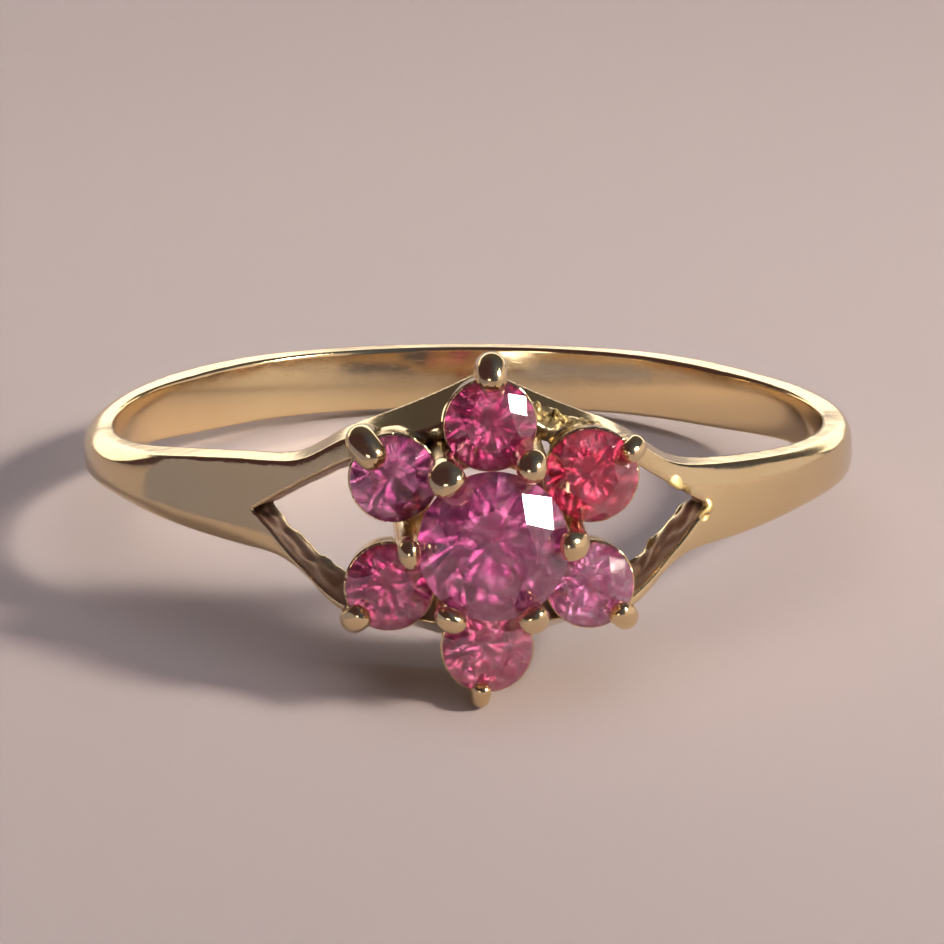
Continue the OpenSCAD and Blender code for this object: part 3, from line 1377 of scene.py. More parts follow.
    def _normals(self, points: Points) -> tuple[Points, Field]:
        """Gradient of the field at some points.

        Args:
            points: The points, in the head frame.

        Returns:
            Unit gradients, and their lengths.
        """
        step = self.steps.probe
        slopes = []
        for axis in range(3):
            shift = np.zeros(3)
            shift[axis] = step
            ahead, behind = points + shift, points - shift
            slopes.append((self.distance(*ahead.T) - self.distance(*behind.T)) / (2 * step))
        gradient = np.stack(slopes, axis=1)
        length = np.maximum(np.linalg.norm(gradient, axis=1), TINY)
        return gradient / length[:, None], length

    def _settle(self, points: Points, quads: np.ndarray) -> Points:
        """Even out the net along the surface and pull it onto the surface.

        Args:
            points: Vertices of the net.
            quads: Its quads.

        Returns:
            The settled vertices.
        """
        pairs = np.concatenate([quads[:, [k, (k + 1) % 4]] for k in range(4)])
        pairs = np.concatenate((pairs, pairs[:, ::-1]))
        count = np.bincount(pairs[:, 0], minlength=len(points))
        longest = 0.5 * self.steps.across
        for ease in self.steps.eases:
            if ease:
                around = [np.bincount(pairs[:, 0], points[pairs[:, 1], k], len(points)) for k in range(3)]
                points = points + ease * (np.stack(around, axis=1) / count[:, None] - points)
            normal, length = self._normals(points)
            step = np.clip(self.distance(*points.T) / length, -longest, longest)
            points = points - normal * step[:, None]
        return points

    def build(self) -> bpy.types.Object:
        """Mesh the metal and dress it.

        Returns:
            The body of the ring.
        """
        axes = self._lattice()
        angle, radius, height = np.meshgrid(*[axis.astype(np.float32) for axis in axes], indexing="ij")
        values = self.distance(radius * np.sin(angle), height, radius * np.cos(angle))
        points, quads = SurfaceNet(axes, values).mesh()
        points = self._settle(points, quads)
        mesh = bpy.data.meshes.new(self.name)
        mesh.from_pydata(self.ring.to_row(points), [], self._outward(points, quads).tolist())
        mesh.shade_smooth()
        for name, mask in self._masks(points).items():
            mesh.attributes.new(name, "FLOAT", "POINT").data.foreach_set("value", mask.astype(np.float32))
        mesh.materials.append(GoldFinish(GoldShade.POLISHED).material())
        return add_piece(self.name, mesh)

    @staticmethod
    def _outward(points: Points, quads: np.ndarray) -> np.ndarray:
        """Turn the quads so that they face out of the metal.

        Args:
            points: Vertices of the metal.
            quads: Its quads.

        Returns:
            The quads, reversed if they faced in.
        """
        first, second, third = (points[quads[:, k]] for k in (0, 1, 2))
        fourth = points[quads[:, 3]]
        halves = np.einsum("ij,ij->i", first, np.cross(second, third))
        halves = halves + np.einsum("ij,ij->i", first, np.cross(third, fourth))
        return quads[:, ::-1] if halves.sum() < 0 else quads

    def _masks(self, points: Points) -> dict[str, Field]:
        """How sheltered each point is, which sets its grime and painted shade, and how far it was left as
        cast.

        Args:
            points: Vertices of the metal.

        Returns:
            The masks by name, from 0 to 1.
        """
        marks = self.marks
        u, v, w = points.T
        radius = np.hypot(u, w)
        normal, _ = self._normals(points)
        # Openness along the normal: where it is low, the corner is darkened with painted shade and grime.
        open_air = self.distance(*(points + normal * marks.shelter_reach).T) / marks.shelter_reach
        wall = np.abs(self._opening(u, v + self._drop(u, v, w), w, radius))
        skin = self._band(u, v - self._lift(u, v, w), w, radius)
        raw = smoothstep(*marks.beside_wall, wall) * smoothstep(*marks.under_skin, skin) * (w > 0)
        raw = raw * smoothstep(*marks.over_bore, radius - self.ring.bore_r)
        solder = np.clip(marks.solder_gain * sum(patch.share(u, v, w) for patch in self.patches), 0, 1)
        return {"crevice_shade_and_grime": np.clip(1.0 - open_air, 0, 1), "raw": raw * (1 - solder), "solder": solder}


@dataclass(frozen=True)
class ClawPlan:
    """Sizes of one claw.

    Attributes:
        bearing: Its bearing round its stone, in degrees from u towards v.
        radius: Radius of its wire.
        lap: How far its tip reaches in over the stone's edge.
        spread: How much wider than round it was pressed.
        bite: How far its wire stands over the stone's edge.
    """

    bearing: float
    radius: float
    lap: float
    spread: float = 1.0
    bite: float = 0.06


@dataclass
class Claws:
    """The claws that hold the stones, swept along their paths and bent over the stones' edges.

    Attributes:
        ring: The ring's frame.
        stones: Every stone, the centre one first.
        name: Name of the piece.
        inner: The claws round the centre stone.
        outer: The claw over each petal's outer edge.
        foot_level: Height of their feet over the bore's centre.
        lean: How far the outer claws lean out on their way up.
        waist_lean: Share of that lean that is left at the waist.
        waist_rise: Height of the waist over the girdle.
        upright_rise: Height over the girdle at which a claw stands upright.
        inner_bend: Height of the inner claws' bend over the girdle.
        outer_bend: Height of the outer claws' bend over the girdle.
        bend_share: Share of its lap that a claw has reached in the bend.
        bend_in: How much farther in than that its bend lies.
        bend_drop: How far below the bend's height the bend starts.
        tip_rise: How far above the bend's height the tip lies.
        pressed: Border of the part that was pressed wide, in height over the girdle.
        rings: Rings of points along a claw.
        sides: Points round a ring.
        curve_steps: Points with which a path is smoothed between two of its own.
        dome: Power of the tip's dome; the higher, the squarer the tip.
        merge: Distance at which points are merged.
        gap: Room kept between a claw and a stone.
    """

    ring: RingFrame
    stones: list[StonePlace]
    name: str = "gold_claws"
    inner: tuple[ClawPlan, ...] = (
        ClawPlan(65.5, 0.37, 0.0, 0.95, 0.03),
        ClawPlan(2.0, 0.26, 0.22, 1.3),
        ClawPlan(299.0, 0.28, 0.14, 1.25),
        ClawPlan(239.0, 0.28, 0.08, 1.3),
        ClawPlan(183.0, 0.26, 0.02, 1.3),
        ClawPlan(123.5, 0.33, 0.15, 1.25),
    )
    outer: tuple[ClawPlan, ...] = (
        ClawPlan(89.0, 0.345, 0.2),
        ClawPlan(34.0, 0.22, 0.2, 1.15),
        ClawPlan(318.0, 0.25, 0.3, 1.15, 0.1),
        ClawPlan(261.0, 0.21, 0.26, 1.1),
        ClawPlan(221.0, 0.25, 0.3, 1.2, 0.1),
        ClawPlan(130.0, 0.38, 0.52, 0.95, 0.26),
    )
    foot_level: float = 9.5
    lean: float = 0.4
    waist_lean: float = 0.3
    waist_rise: float = -0.7
    upright_rise: float = -0.05
    inner_bend: float = 0.34
    outer_bend: float = 0.28
    bend_share: float = 0.25
    bend_in: float = 0.02
    bend_drop: float = 0.04
    tip_rise: float = 0.12
    pressed: Border = (-0.5, 0.1)
    rings: int = 56
    sides: int = 24
    curve_steps: int = 16
    dome: float = 2.3
    merge: float = 0.0005
    gap: float = 0.004

    def _plans(self) -> list[tuple[StonePlace, ClawPlan, float, float]]:
        """List every claw.

        Returns:
            For each claw its stone, its plan, its lean and the height of its bend.
        """
        inner = [(self.stones[0], plan, 0.0, self.inner_bend) for plan in self.inner]
        outer = [
            (petal, plan, self.lean, self.outer_bend) for petal, plan in zip(self.stones[1:], self.outer)
        ]
        return inner + outer

    def _path(self, stone: StonePlace, plan: ClawPlan, lean: float, bend: float) -> list[Vector]:
        """Points that a claw runs through, from its foot to its tip.

        Args:
            stone: The stone that it holds.
            plan: Its sizes.
            lean: How far it leans out on its way up.
            bend: Height of its bend above the girdle.

        Returns:
            The points in the head frame.
        """
        edge = stone.radius
        out = edge + plan.radius - plan.bite
        places = (
            (out - lean, self.foot_level - stone.level),
            (out - self.waist_lean * lean, self.waist_rise),
            (out, self.upright_rise),
            (out - self.bend_share * plan.lap - self.bend_in, bend - self.bend_drop),
            (edge - plan.lap, bend + self.tip_rise),
        )
        return [stone.out(plan.bearing, reach, rise) for reach, rise in places]

    def _paths(self) -> bpy.types.Mesh:
        """Lay out the edges that the tree sweeps.

        Returns:
            The mesh of edges, with each claw's radius and number on its points.
        """
        points, edges, radii, numbers = [], [], [], []
        for number, (stone, plan, lean, bend) in enumerate(self._plans()):
            first = len(points)
            path = self._path(stone, plan, lean, bend)
            points.extend(path)
            edges.extend((first + k, first + k + 1) for k in range(len(path) - 1))
            radii.extend([plan.radius] * len(path))
            numbers.extend([float(number)] * len(path))
        mesh = bpy.data.meshes.new("claw_paths")
        mesh.from_pydata(points, edges, [])
        mesh.attributes.new("wire_r", "FLOAT", "POINT").data.foreach_set("value", radii)
        mesh.attributes.new("number", "FLOAT", "POINT").data.foreach_set("value", numbers)
        return mesh

    def _tree(self) -> bpy.types.NodeTree:
        """Geometry Nodes that sweep a round wire along each path and dome its tip.

        Returns:
            The tree, with inputs Rings, Sides and Finish.
        """
        tree = bpy.data.node_groups.new("claw_sweep", "GeometryNodeTree")
        sheet = NodeSheet(tree)
        sheet.socket("Geometry", "Geometry")
        sheet.socket("Rings", "Int")
        sheet.socket("Sides", "Int")
        sheet.socket("Finish", "Material")
        sheet.socket("Geometry", "Geometry", out=True)
        given = sheet.add("NodeGroupInput").outputs
        curve = sheet.first("GeometryNodeMeshToCurve", {"Mesh": given["Geometry"]})
        smooth = sheet.first("GeometryNodeCurveSplineType", {"Curve": curve}, spline_type="CATMULL_ROM")
        fineness = {"Geometry": smooth, "Resolution": self.curve_steps}
        fine = sheet.first("GeometryNodeSetSplineResolution", fineness)
        even = sheet.first("GeometryNodeResampleCurve", {"Curve": fine, "Count": given["Rings"]})
        run = sheet.add("GeometryNodeSplineParameter").outputs
        left = sheet.math("SUBTRACT", 1.0, run["Factor"])
        crowded = sheet.math("SUBTRACT", 1.0, sheet.math("MULTIPLY", left, left))
        which = sheet.add("GeometryNodeCurveOfPoint").outputs["Curve Index"]
        along = {"Curves": fine, "Factor": crowded, "Curve Index": which}
        place = sheet.add("GeometryNodeSampleCurve", along, mode="FACTOR").outputs["Position"]
        placed = sheet.first("GeometryNodeSetPosition", {"Geometry": even, "Position": place})
        wire = sheet.first("GeometryNodeInputNamedAttribute", {"Name": "wire_r"}, data_type="FLOAT")
        length = sheet.add("GeometryNodeSplineLength").outputs["Length"]
        to_tip = sheet.math("SUBTRACT", length, run["Length"])
        into_dome = sheet.math("SUBTRACT", 1.0, sheet.math("DIVIDE", to_tip, wire), clamp=True)
        round_share = sheet.math("SUBTRACT", 1.0, sheet.math("POWER", into_dome, self.dome))
        scale = sheet.math("MULTIPLY", wire, sheet.math("POWER", round_share, 1 / self.dome))
        round_wire = {"Resolution": given["Sides"], "Radius": 1.0}
        profile = sheet.first("GeometryNodeCurvePrimitiveCircle", round_wire)
        swept = sheet.first("GeometryNodeCurveToMesh", {
            "Curve": placed, "Profile Curve": profile, "Scale": scale, "Fill Caps": True,
        })
        merged = sheet.first("GeometryNodeMergeByDistance", {"Geometry": swept, "Distance": self.merge})
        soft = sheet.first("GeometryNodeSetShadeSmooth", {"Geometry": merged})
        sheet.finish(soft, given["Finish"])
        return tree

    def _pressed(self, mesh: bpy.types.Mesh) -> Points:
        """Spread each claw's top sideways as its plan says.

        Args:
            mesh: The swept claws.

        Returns:
            The moved vertices.
        """
        points = np.array([vertex.co for vertex in mesh.vertices])
        numbers = np.zeros(len(points), np.float32)
        mesh.attributes["number"].data.foreach_get("value", numbers)
        for number, (stone, plan, _, _) in enumerate(self._plans()):
            mine = np.rint(numbers) == number
            bearing = math.radians(plan.bearing)
            aside = np.array((-math.sin(bearing), math.cos(bearing)))
            off = (points[mine, :2] - (stone.u, stone.v)) @ aside
            near_top = smoothstep(*self.pressed, points[mine, 2] - stone.level)
            points[mine, :2] += np.outer(off * (plan.spread - 1) * near_top, aside)
        return points

    def _clear_of(self, stone: StonePlace, points: Points) -> Points:
        """Push the points that lie in a stone out to its surface.

        Args:
            stone: The stone.
            points: Points in the head frame.

        Returns:
            The points, clear of the stone.
        """
        cut, r = stone.cut, stone.radius
        half_girdle = cut.girdle * stone.diameter / 2
        crown = cut.crown * stone.diameter
        crown_slope = math.atan2(crown, r * (1 - cut.table))
        pavilion_slope = math.atan2(cut.pavilion * stone.diameter, r)
        away = points[:, :2] - (stone.u, stone.v)
        reach = np.maximum(np.linalg.norm(away, axis=1), TINY)
        rise = points[:, 2] - stone.level
        faces = (
            (0.0, 1.0, half_girdle + crown),
            (math.sin(crown_slope), math.cos(crown_slope), None),
            (1.0, 0.0, r),
            (math.sin(pavilion_slope), -math.cos(pavilion_slope), None),
        )
        depths = []
        for across, up, offset in faces:
            if offset is None:
                offset = across * r + abs(up) * half_girdle
            depths.append(across * reach + up * rise - offset - self.gap)
        depths = np.stack(depths)
        nearest = depths.argmax(axis=0)
        depth = np.minimum(depths.max(axis=0), 0)
        across = np.array([face[0] for face in faces])[nearest]
        up = np.array([face[1] for face in faces])[nearest]
        moved = points.copy()
        moved[:, :2] -= away / reach[:, None] * (across * depth)[:, None]
        moved[:, 2] -= up * depth
        return moved

    def build(self) -> bpy.types.Object:
        """Sweep the claws, wrap them over the stones and put them in place.

        Returns:
            The claws as one piece.
        """
        finish = GoldFinish(GoldShade.CLAW, roughness=0.12, dents=0.6).material()
        inputs = {"Rings": self.rings, "Sides": self.sides, "Finish": finish}
        piece = grown(self.name, self._paths(), self._tree(), inputs)
        points = self._pressed(piece.data)
        for stone in self.stones:
            points = self._clear_of(stone, points)
        move_points(piece, self.ring.to_row(points))
        return piece


@dataclass
class Brilliants:
    """The faceted stones.

    Attributes:
        ring: The ring's frame.
        corners: Corners of the table, and of each ring of facets.
        girdle_points: Points round a girdle.
    """

    ring: RingFrame
    corners: int = 8
    girdle_points: int = 96

    def _ring(
        self, sheet: NodeSheet, reach: object, rise: object, turned: bool = False
    ) -> bpy.types.NodeSocket:
        """Ring of facet corners.

        Args:
            sheet: The sheet that is written on.
            reach: Radius of the ring.
            rise: Height of the ring.
            turned: Whether the corners are turned by half a step.

        Returns:
            The ring's geometry socket.
        """
        circle = sheet.first("GeometryNodeMeshCircle", {"Vertices": self.corners, "Radius": reach})
        height = sheet.first("ShaderNodeCombineXYZ", {"Z": rise})
        turn = (0.0, 0.0, math.pi / self.corners if turned else 0.0)
        place = {"Geometry": circle, "Translation": height, "Rotation": turn}
        return sheet.first("GeometryNodeTransform", place)

    def _girdle(
        self, sheet: NodeSheet, radius: object, level: object, slope: object
    ) -> bpy.types.NodeSocket:
        """Girdle line, scalloped where the facets beside it run out.

        Args:
            sheet: The sheet that is written on.
            radius: Radius of the girdle.
            level: Height of the line at the facets' corners.
            slope: Slope of the facets, negative below the girdle.

        Returns:
            The line's geometry socket.
        """
        facets = 2 * self.corners
        per_facet = self.girdle_points // facets
        circle = sheet.first("GeometryNodeMeshCircle", {"Vertices": self.girdle_points, "Radius": radius})
        index = sheet.first("GeometryNodeInputIndex")
        within = sheet.math("SUBTRACT", sheet.math("MODULO", index, float(per_facet)), per_facet / 2)
        angle = sheet.math("MULTIPLY", within, 2 * math.pi / self.girdle_points)
        bow = sheet.math("SUBTRACT", sheet.math("COSINE", angle), math.cos(math.pi / facets))
        sink = sheet.math("MULTIPLY", sheet.math("MULTIPLY", bow, radius), slope)
        offset = sheet.first("ShaderNodeCombineXYZ", {"Z": sheet.math("SUBTRACT", level, sink)})
        return sheet.first("GeometryNodeSetPosition", {"Geometry": circle, "Offset": offset})

    def tree(self) -> bpy.types.NodeTree:
        """Geometry Nodes that place every facet corner and wrap them in facets.

        Returns:
            The tree, with the cut's shares, Diameter, Turn and Finish as inputs.
        """
        tree = bpy.data.node_groups.new("brilliant", "GeometryNodeTree")
        sheet = NodeSheet(tree)
        sheet.socket("Geometry", "Geometry")
        for name in ("Diameter", *(share.name.title() for share in fields(Cut))):
            sheet.socket(name, "Float", 1.0)
        sheet.socket("Turn", "Rotation")
        sheet.socket("Finish", "Material")
        sheet.socket("Geometry", "Geometry", out=True)
        given = sheet.add("NodeGroupInput").outputs
        radius = sheet.math("MULTIPLY", given["Diameter"], 0.5)
        edge = sheet.math("MULTIPLY", sheet.math("MULTIPLY", given["Girdle"], given["Diameter"]), 0.5)
        below = sheet.math("MULTIPLY", edge, -1.0)
        crown = sheet.math("MULTIPLY", given["Crown"], given["Diameter"])
        deep = sheet.math("MULTIPLY", given["Pavilion"], given["Diameter"])
        table, star, lower, culet = (
            sheet.math("MULTIPLY", given[name], radius) for name in ("Table", "Star", "Lower", "Culet")
        )
        star_fall, lower_fall = (self._fall(sheet, given[name]) for name in ("Star", "Lower"))
        slant = sheet.math("SUBTRACT", 1.0, given["Table"])
        star_rise = sheet.math("DIVIDE", sheet.math("MULTIPLY", crown, star_fall), slant)
        lower_drop = sheet.math("MULTIPLY", deep, lower_fall)
        upper_slope = self._slope(sheet, given["Star"], radius, star_rise)
        lower_slope = sheet.math("MULTIPLY", self._slope(sheet, given["Lower"], radius, lower_drop), -1.0)
        rows = [
            self._ring(sheet, table, sheet.math("ADD", edge, crown)),
            self._ring(sheet, star, sheet.math("ADD", edge, star_rise), turned=True),
            self._girdle(sheet, radius, edge, upper_slope),
            self._girdle(sheet, radius, below, lower_slope),
            self._ring(sheet, lower, sheet.math("SUBTRACT", below, lower_drop), turned=True),
            self._ring(sheet, culet, sheet.math("SUBTRACT", below, deep)),
        ]
        joined = sheet.add("GeometryNodeJoinGeometry")
        for row in rows:
            tree.links.new(row, joined.inputs[0])
        hull = sheet.first("GeometryNodeConvexHull", {"Geometry": joined.outputs[0]})
        placed = sheet.first("GeometryNodeTransform", {"Geometry": hull, "Rotation": given["Turn"]})
        flat = sheet.first("GeometryNodeSetShadeSmooth", {"Geometry": placed, "Shade Smooth": False})
        sheet.finish(flat, given["Finish"])
        return tree

    def _fall(self, sheet: NodeSheet, share: bpy.types.NodeSocket) -> bpy.types.NodeSocket:
        """Share of its height that a cone has lost at a ring of turned corners."""
        inner = sheet.math("MULTIPLY", share, math.cos(math.pi / self.corners))
        return sheet.math("SUBTRACT", 1.0, inner)

    def _slope(
        self, sheet: NodeSheet, share: bpy.types.NodeSocket, radius: object, height: object
    ) -> bpy.types.NodeSocket:
        """Slope of the facets beside the girdle.

        Args:
            sheet: The sheet that is written on.
            share: Reach of their far corners, as a share of the radius.
            radius: Radius of the girdle.
            height: Height of their far corners over the girdle's edge.

        Returns:
            The slope's socket.
        """
        depth = sheet.math("MULTIPLY", sheet.math("SUBTRACT", 1.0, share), radius)
        run = sheet.math("MULTIPLY", depth, math.cos(math.pi / (2 * self.corners)))
        return sheet.math("DIVIDE", height, run)

    def build(
        self, tree: bpy.types.NodeTree, stone: StonePlace, spin: float, finish: GemFinish
    ) -> bpy.types.Object:
        """Cut one stone and set it in its seat.

        Args:
            tree: The tree that cuts it.
            stone: Its place.
            spin: How far it is turned about its axis, in degrees.
            finish: Its finish.

        Returns:
            The stone.
        """
        inputs = {name.title(): share for name, share in asdict(stone.cut).items()}
        inputs["Diameter"] = float(stone.diameter)
        inputs["Turn"] = (0.0, 0.0, math.radians(spin))
        inputs["Finish"] = finish.material()
        piece = grown(f"cut_{stone.node}", bpy.data.meshes.new("seed"), tree, inputs)
        points = np.array([vertex.co for vertex in piece.data.vertices]) + (stone.u, stone.v, stone.level)
        move_points(piece, self.ring.to_row(points))
        return piece


@dataclass(frozen=True)
class Softbox:
    """An area light.

    Attributes:
        name: Its name.
        bearing: Its bearing round the ring, in degrees from the front towards the right.
        height: Its height, in degrees over the floor.
        distance: Its distance from what it is aimed at, in metres.
        size: Its width and height, in metres.
        power: Its power, in watts.
        colour: Colour of its light.
        spread: Angle of its beam, in degrees.
        aim: Place that it is aimed at, in metres.
    """

    name: str
    bearing: float
    height: float
    distance: float
    size: tuple[float, float]
    power: float
    colour: Colour
    spread: float = 180.0
    aim: Triple = (0.0, 0.0, 0.0)


@dataclass(frozen=True)
class GlowingReflectionCard:
    """An upright card beside the ring that glows and is seen only in reflections: a painted grey reflection
    of shade in the left of the gold.

    Attributes:
        place: Its place along x, in metres.
        front: Place of its front edge along y, in metres.
        back: Place of its back edge along y, in metres.
        top: Height of its upper edge, in metres.
        colour: Colour that it glows with, a painted reflection of shade.
    """

    place: float = -0.0148
    front: float = -0.034
    back: float = -0.002
    top: float = 0.0035
    colour: Colour = (0.25, 0.235, 0.29)


@dataclass(frozen=True)
class Room:
    """Colours of the dark room round the ring.

    Attributes:
        left: Its warmer colour, on the left.
        right: Its cooler colour, on the right.
        behind: Its paler colour, behind the ring.
        turn: How fast left turns into right along x.
        middle: Share of the right colour straight ahead.
        way: Direction of the paler part.
        paler: Border of the paler part, as the cosine to that direction.
    """

    left: Colour = (0.062, 0.034, 0.040)
    right: Colour = (0.064, 0.080, 0.125)
    behind: Colour = (0.09, 0.08, 0.07)
    turn: float = 1.6
    middle: float = 0.35
    way: Triple = (0.15, 0.93, 0.33)
    paler: Border = (0.5, 0.95)


@dataclass(frozen=True)
class View:
    """The photograph's view of the ring.

    Attributes:
        rise: How far above the flower's axis the camera stands, in degrees.
        swing: How far to the left of that axis it stands, in degrees.
        roll: How far it is rolled, in degrees.
        distance: Its distance from the bore's centre.
        aim: How far right of that centre and above it the camera aims.
        sensor: Width of its sensor.
        lens: Its focal length.
        nearest: Nearest distance that it shows, in metres.
        farthest: Farthest distance that it shows, in metres.
    """

    rise: float = 10.6
    swing: float = 2.6
    roll: float = 0.4
    distance: float = 120.0
    aim: tuple[float, float] = (0.110, -0.729)
    sensor: float = 36.0
    lens: float = 186.5
    nearest: float = 0.005
    farthest: float = 20.0


@dataclass
class Studio:
    """Floor, card, lights, surroundings and camera.

    Attributes:
        ring: The ring's frame.
        floor_level: Height of the floor, in metres.
        floor_half: Half the floor's side, in metres.
        floor_colour: Colour of the floor.
        floor_roughness: Roughness of the floor.
        card: The glowing card that paints a grey reflection of shade into the gold.
        room: The surroundings.
        view: The camera's view.
        softboxes: Lights that the gold and the stones mirror.
        unmirrored: Lights that nothing mirrors.
        sparks: Lights that only shine through the stones.
    """

    ring: RingFrame
    floor_level: float
    floor_half: float = 3.0
    floor_colour: Colour = (0.43, 0.37, 0.375)
    floor_roughness: float = 0.75
    card: GlowingReflectionCard = GlowingReflectionCard()
    room: Room = Room()
    view: View = View()
    softboxes: tuple[Softbox, ...] = (
        Softbox("key", 63.0, 33.0, 0.6, (0.12, 0.12), 0.1, (1.0, 0.90, 0.76), 17.0, (0.05, 0.0, 0.0)),
        Softbox("right_wall", 86.0, 13.0, 0.13, (0.26, 0.06), 0.0305, (1.0, 0.82, 0.70)),
        Softbox("horizon", 180.0, 7.0, 0.9, (1.6, 0.2), 1.9, (1.0, 0.91, 0.76)),
        Softbox("card_low", 338.0, 9.0, 0.4, (0.12, 0.05), 0.10, (1.0, 0.94, 0.90)),
    )
    unmirrored: tuple[Softbox, ...] = (
        Softbox("fill", 0.0, 80.0, 0.7, (0.8, 0.8), 2.6, (1.0, 0.97, 0.97)),
        Softbox(
            "pool", 190.0, 62.0, 0.3, (0.006, 0.006), 0.0001, (1.0, 0.84, 0.58), 1.9,
            (-0.004, 0.0052, -0.002),
        ),
    )
    sparks: tuple[Softbox, ...] = (
        Softbox("spark_high", 22.0, 52.0, 0.5, (0.15, 0.15), 0.32, (1.0, 0.92, 0.96)),
        Softbox("spark_left", 334.0, 40.0, 0.5, (0.12, 0.12), 0.24, (1.0, 0.92, 0.96)),
        Softbox("spark_low", 4.0, 14.0, 0.5, (0.12, 0.05), 0.12, (1.0, 0.92, 0.96)),
    )

    def _floor(self) -> bpy.types.Object:
        """Plain pale floor.

        Returns:
            The floor.
        """
        material, sheet = new_material("floor")
        sheet.dress({"Base Color": (*self.floor_colour, 1), "Roughness": self.floor_roughness})
        half = self.floor_half
        corners = ((-half, -half), (half, -half), (half, half), (-half, half))
        return flat_piece("floor", [(x, y, self.floor_level) for x, y in corners], material)

    def _card(self) -> bpy.types.Object:
        """Glowing card at the left that is seen only in reflections, a painted reflection of shade.

        Returns:
            The card.
        """
        card, low = self.card, self.floor_level
        material, sheet = new_material("painted_reflection_card")
        # Black base with a grey glow: a painted reflection of shade, seen only by mirrored rays.
        sheet.dress({
            "Base Color": (0, 0, 0, 1), "Emission Color": (*card.colour, 1), "Emission Strength": 1.0,
        })
        edge = ((card.front, low), (card.back, low), (card.back, card.top), (card.front, card.top))
        piece = flat_piece("painted_reflection_card", [(card.place, y, z) for y, z in edge], material)
        piece.visible_camera = piece.visible_diffuse = False
        piece.visible_transmission = piece.visible_shadow = False
        return piece

    def _light(self, box: Softbox) -> bpy.types.Object:
        """Hang a softbox and turn it to the ring.

        Args:
            box: The softbox.

        Returns:
            Its lamp.
        """
        light = bpy.data.lights.new(box.name, "AREA")
        light.shape = "RECTANGLE"
        light.size, light.size_y = box.size
        light.energy = box.power
        light.color = box.colour
        light.spread = math.radians(box.spread)
        lamp = bpy.data.objects.new(box.name, light)
        bearing, height = math.radians(box.bearing), math.radians(box.height)
        way = Vector((
            math.sin(bearing) * math.cos(height), -math.cos(bearing) * math.cos(height), math.sin(height),
        ))
        lamp.location = Vector(box.aim) + way * box.distance
        lamp.rotation_euler = way.to_track_quat("Z", "Y").to_euler()
        lamp.visible_camera = False
        bpy.context.scene.collection.objects.link(lamp)
        return lamp

    def _surroundings(self) -> None:
        """Dark room, warmer on the left and cooler on the right, that is paler behind the ring."""
        room = self.room
        world = bpy.data.worlds.new("surroundings")
        world.use_nodes = True
        bpy.context.scene.world = world
        sheet = NodeSheet(world.node_tree)
        way = sheet.add("ShaderNodeTexCoord").outputs["Generated"]
        across = sheet.add("ShaderNodeSeparateXYZ", {"Vector": way}).outputs["X"]
        right = sheet.math("MULTIPLY_ADD", across, room.turn, room.middle, clamp=True)
        colour = sheet.mix(right, (*room.left, 1), (*room.right, 1))
        toward = sheet.add("ShaderNodeVectorMath", {0: way, 1: room.way}, operation="DOT_PRODUCT")
        behind = sheet.ramp(toward.outputs["Value"], *room.paler)
        colour = sheet.mix(behind, colour, (*room.behind, 1))
        background = world.node_tree.nodes["Background"]
        sheet.feed(background.inputs["Color"], colour)
        sheet.feed(background.inputs["Strength"], 1.0)

    def _camera(self) -> None:
        """Camera at the photograph's angle to the ring."""
        view = self.view
        rise, swing, roll = (math.radians(angle) for angle in (view.rise, view.swing, view.roll))
        level = math.cos(rise)
        way = np.array((-level * math.sin(swing), math.sin(rise), level * math.cos(swing)))
        place = Vector(self.ring.to_row(way * view.distance))
        turn = place.to_track_quat("Z", "Y").to_matrix()
        aim = (turn.col[0] * view.aim[0] + turn.col[1] * view.aim[1]) * METRES
        turn = (place - aim).to_track_quat("Z", "Y").to_matrix() @ Matrix.Rotation(roll, 3, "Z")
        camera = bpy.data.cameras.new("camera")
        camera.sensor_width = view.sensor
        camera.lens = view.lens
        camera.clip_start = view.nearest
        camera.clip_end = view.farthest
        viewer = bpy.data.objects.new("camera", camera)
        viewer.matrix_world = Matrix.Translation(place) @ turn.to_4x4()
        bpy.context.scene.collection.objects.link(viewer)
        bpy.context.scene.camera = viewer

    def build(self) -> None:
        """Set up the studio."""
        bpy.context.scene.view_settings.view_transform = "Standard"
        self._floor()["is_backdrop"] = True
        self._card()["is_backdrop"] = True
        for box in self.softboxes:
            self._light(box)
        for box in self.unmirrored:
            self._light(box).visible_glossy = False
        for box in self.sparks:
            lamp = self._light(box)
            lamp.visible_glossy = lamp.visible_diffuse = False
        self._surroundings()
        self._camera()


PLUM = GemFinish("centre_plum", (0.56, 0.09, 0.28), (1.0, 0.40, 0.64), (0.82, 0.25, 0.52), 140.0)
RUBY = GemFinish("petal_ruby", (0.82, 0.06, 0.14), (1.0, 0.28, 0.40), (0.94, 0.12, 0.28), 170.0)
ROSE = GemFinish("petal_rose", (0.88, 0.18, 0.44), (1.0, 0.62, 0.84), (0.98, 0.38, 0.66), 100.0)
WINE = GemFinish("petal_wine", (0.64, 0.06, 0.21), (1.0, 0.36, 0.56), (0.90, 0.18, 0.42), 150.0)
BLUSH = GemFinish("petal_blush", (0.84, 0.10, 0.26), (1.0, 0.42, 0.60), (0.96, 0.26, 0.48), 120.0)
CENTRE_SPIN = 41.0
PETAL_LOOKS = ((WINE, 40.0), (RUBY, 36.0), (ROSE, 36.0), (BLUSH, 52.0), (WINE, 5.0), (PLUM, 30.0))


def set_piece(piece: bpy.types.Object, node: str) -> None:
    """Put a piece in the ring's body, hide the node that it replaces, and report it.

    Args:
        piece: The piece.
        node: Name of the node that it stands for.
    """
    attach(piece, BODY)
    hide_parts(node)
    LOG.info("%s: %d faces", piece.name, len(piece.data.polygons))


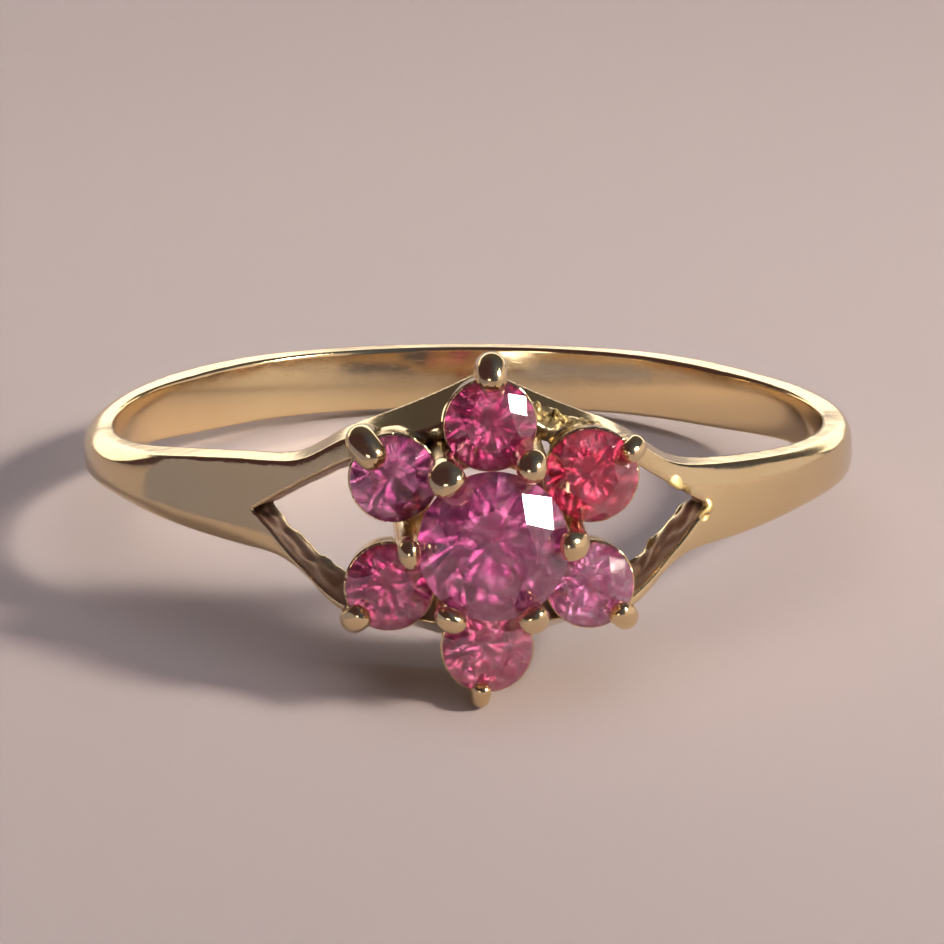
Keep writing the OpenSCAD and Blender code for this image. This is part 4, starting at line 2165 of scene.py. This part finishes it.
def main() -> None:
    """Build the ring and its studio."""
    logging.basicConfig(level=logging.INFO, format="%(name)s %(message)s")
    cad_box = [list(corner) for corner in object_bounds()]
    ring = RingFrame.from_record(frame["record"])
    cut = Cut()
    centre = StonePlace.from_node(ring, CENTRE_NODE, cut)
    petals = [StonePlace.from_node(ring, node, cut) for node in PETAL_NODES]
    set_piece(GoldBody(ring, centre, petals).build(), MOUNT_NODE)
    set_piece(Claws(ring, [centre, *petals]).build(), MOUNT_NODE)
    brilliants = Brilliants(ring)
    tree = brilliants.tree()
    set_piece(brilliants.build(tree, centre, CENTRE_SPIN, PLUM), centre.node)
    for petal, (finish, spin) in zip(petals, PETAL_LOOKS):
        set_piece(brilliants.build(tree, petal, spin, finish), petal.node)
    Studio(ring, cad_box[0][2]).build()


if __name__ == "__main__":
    main()
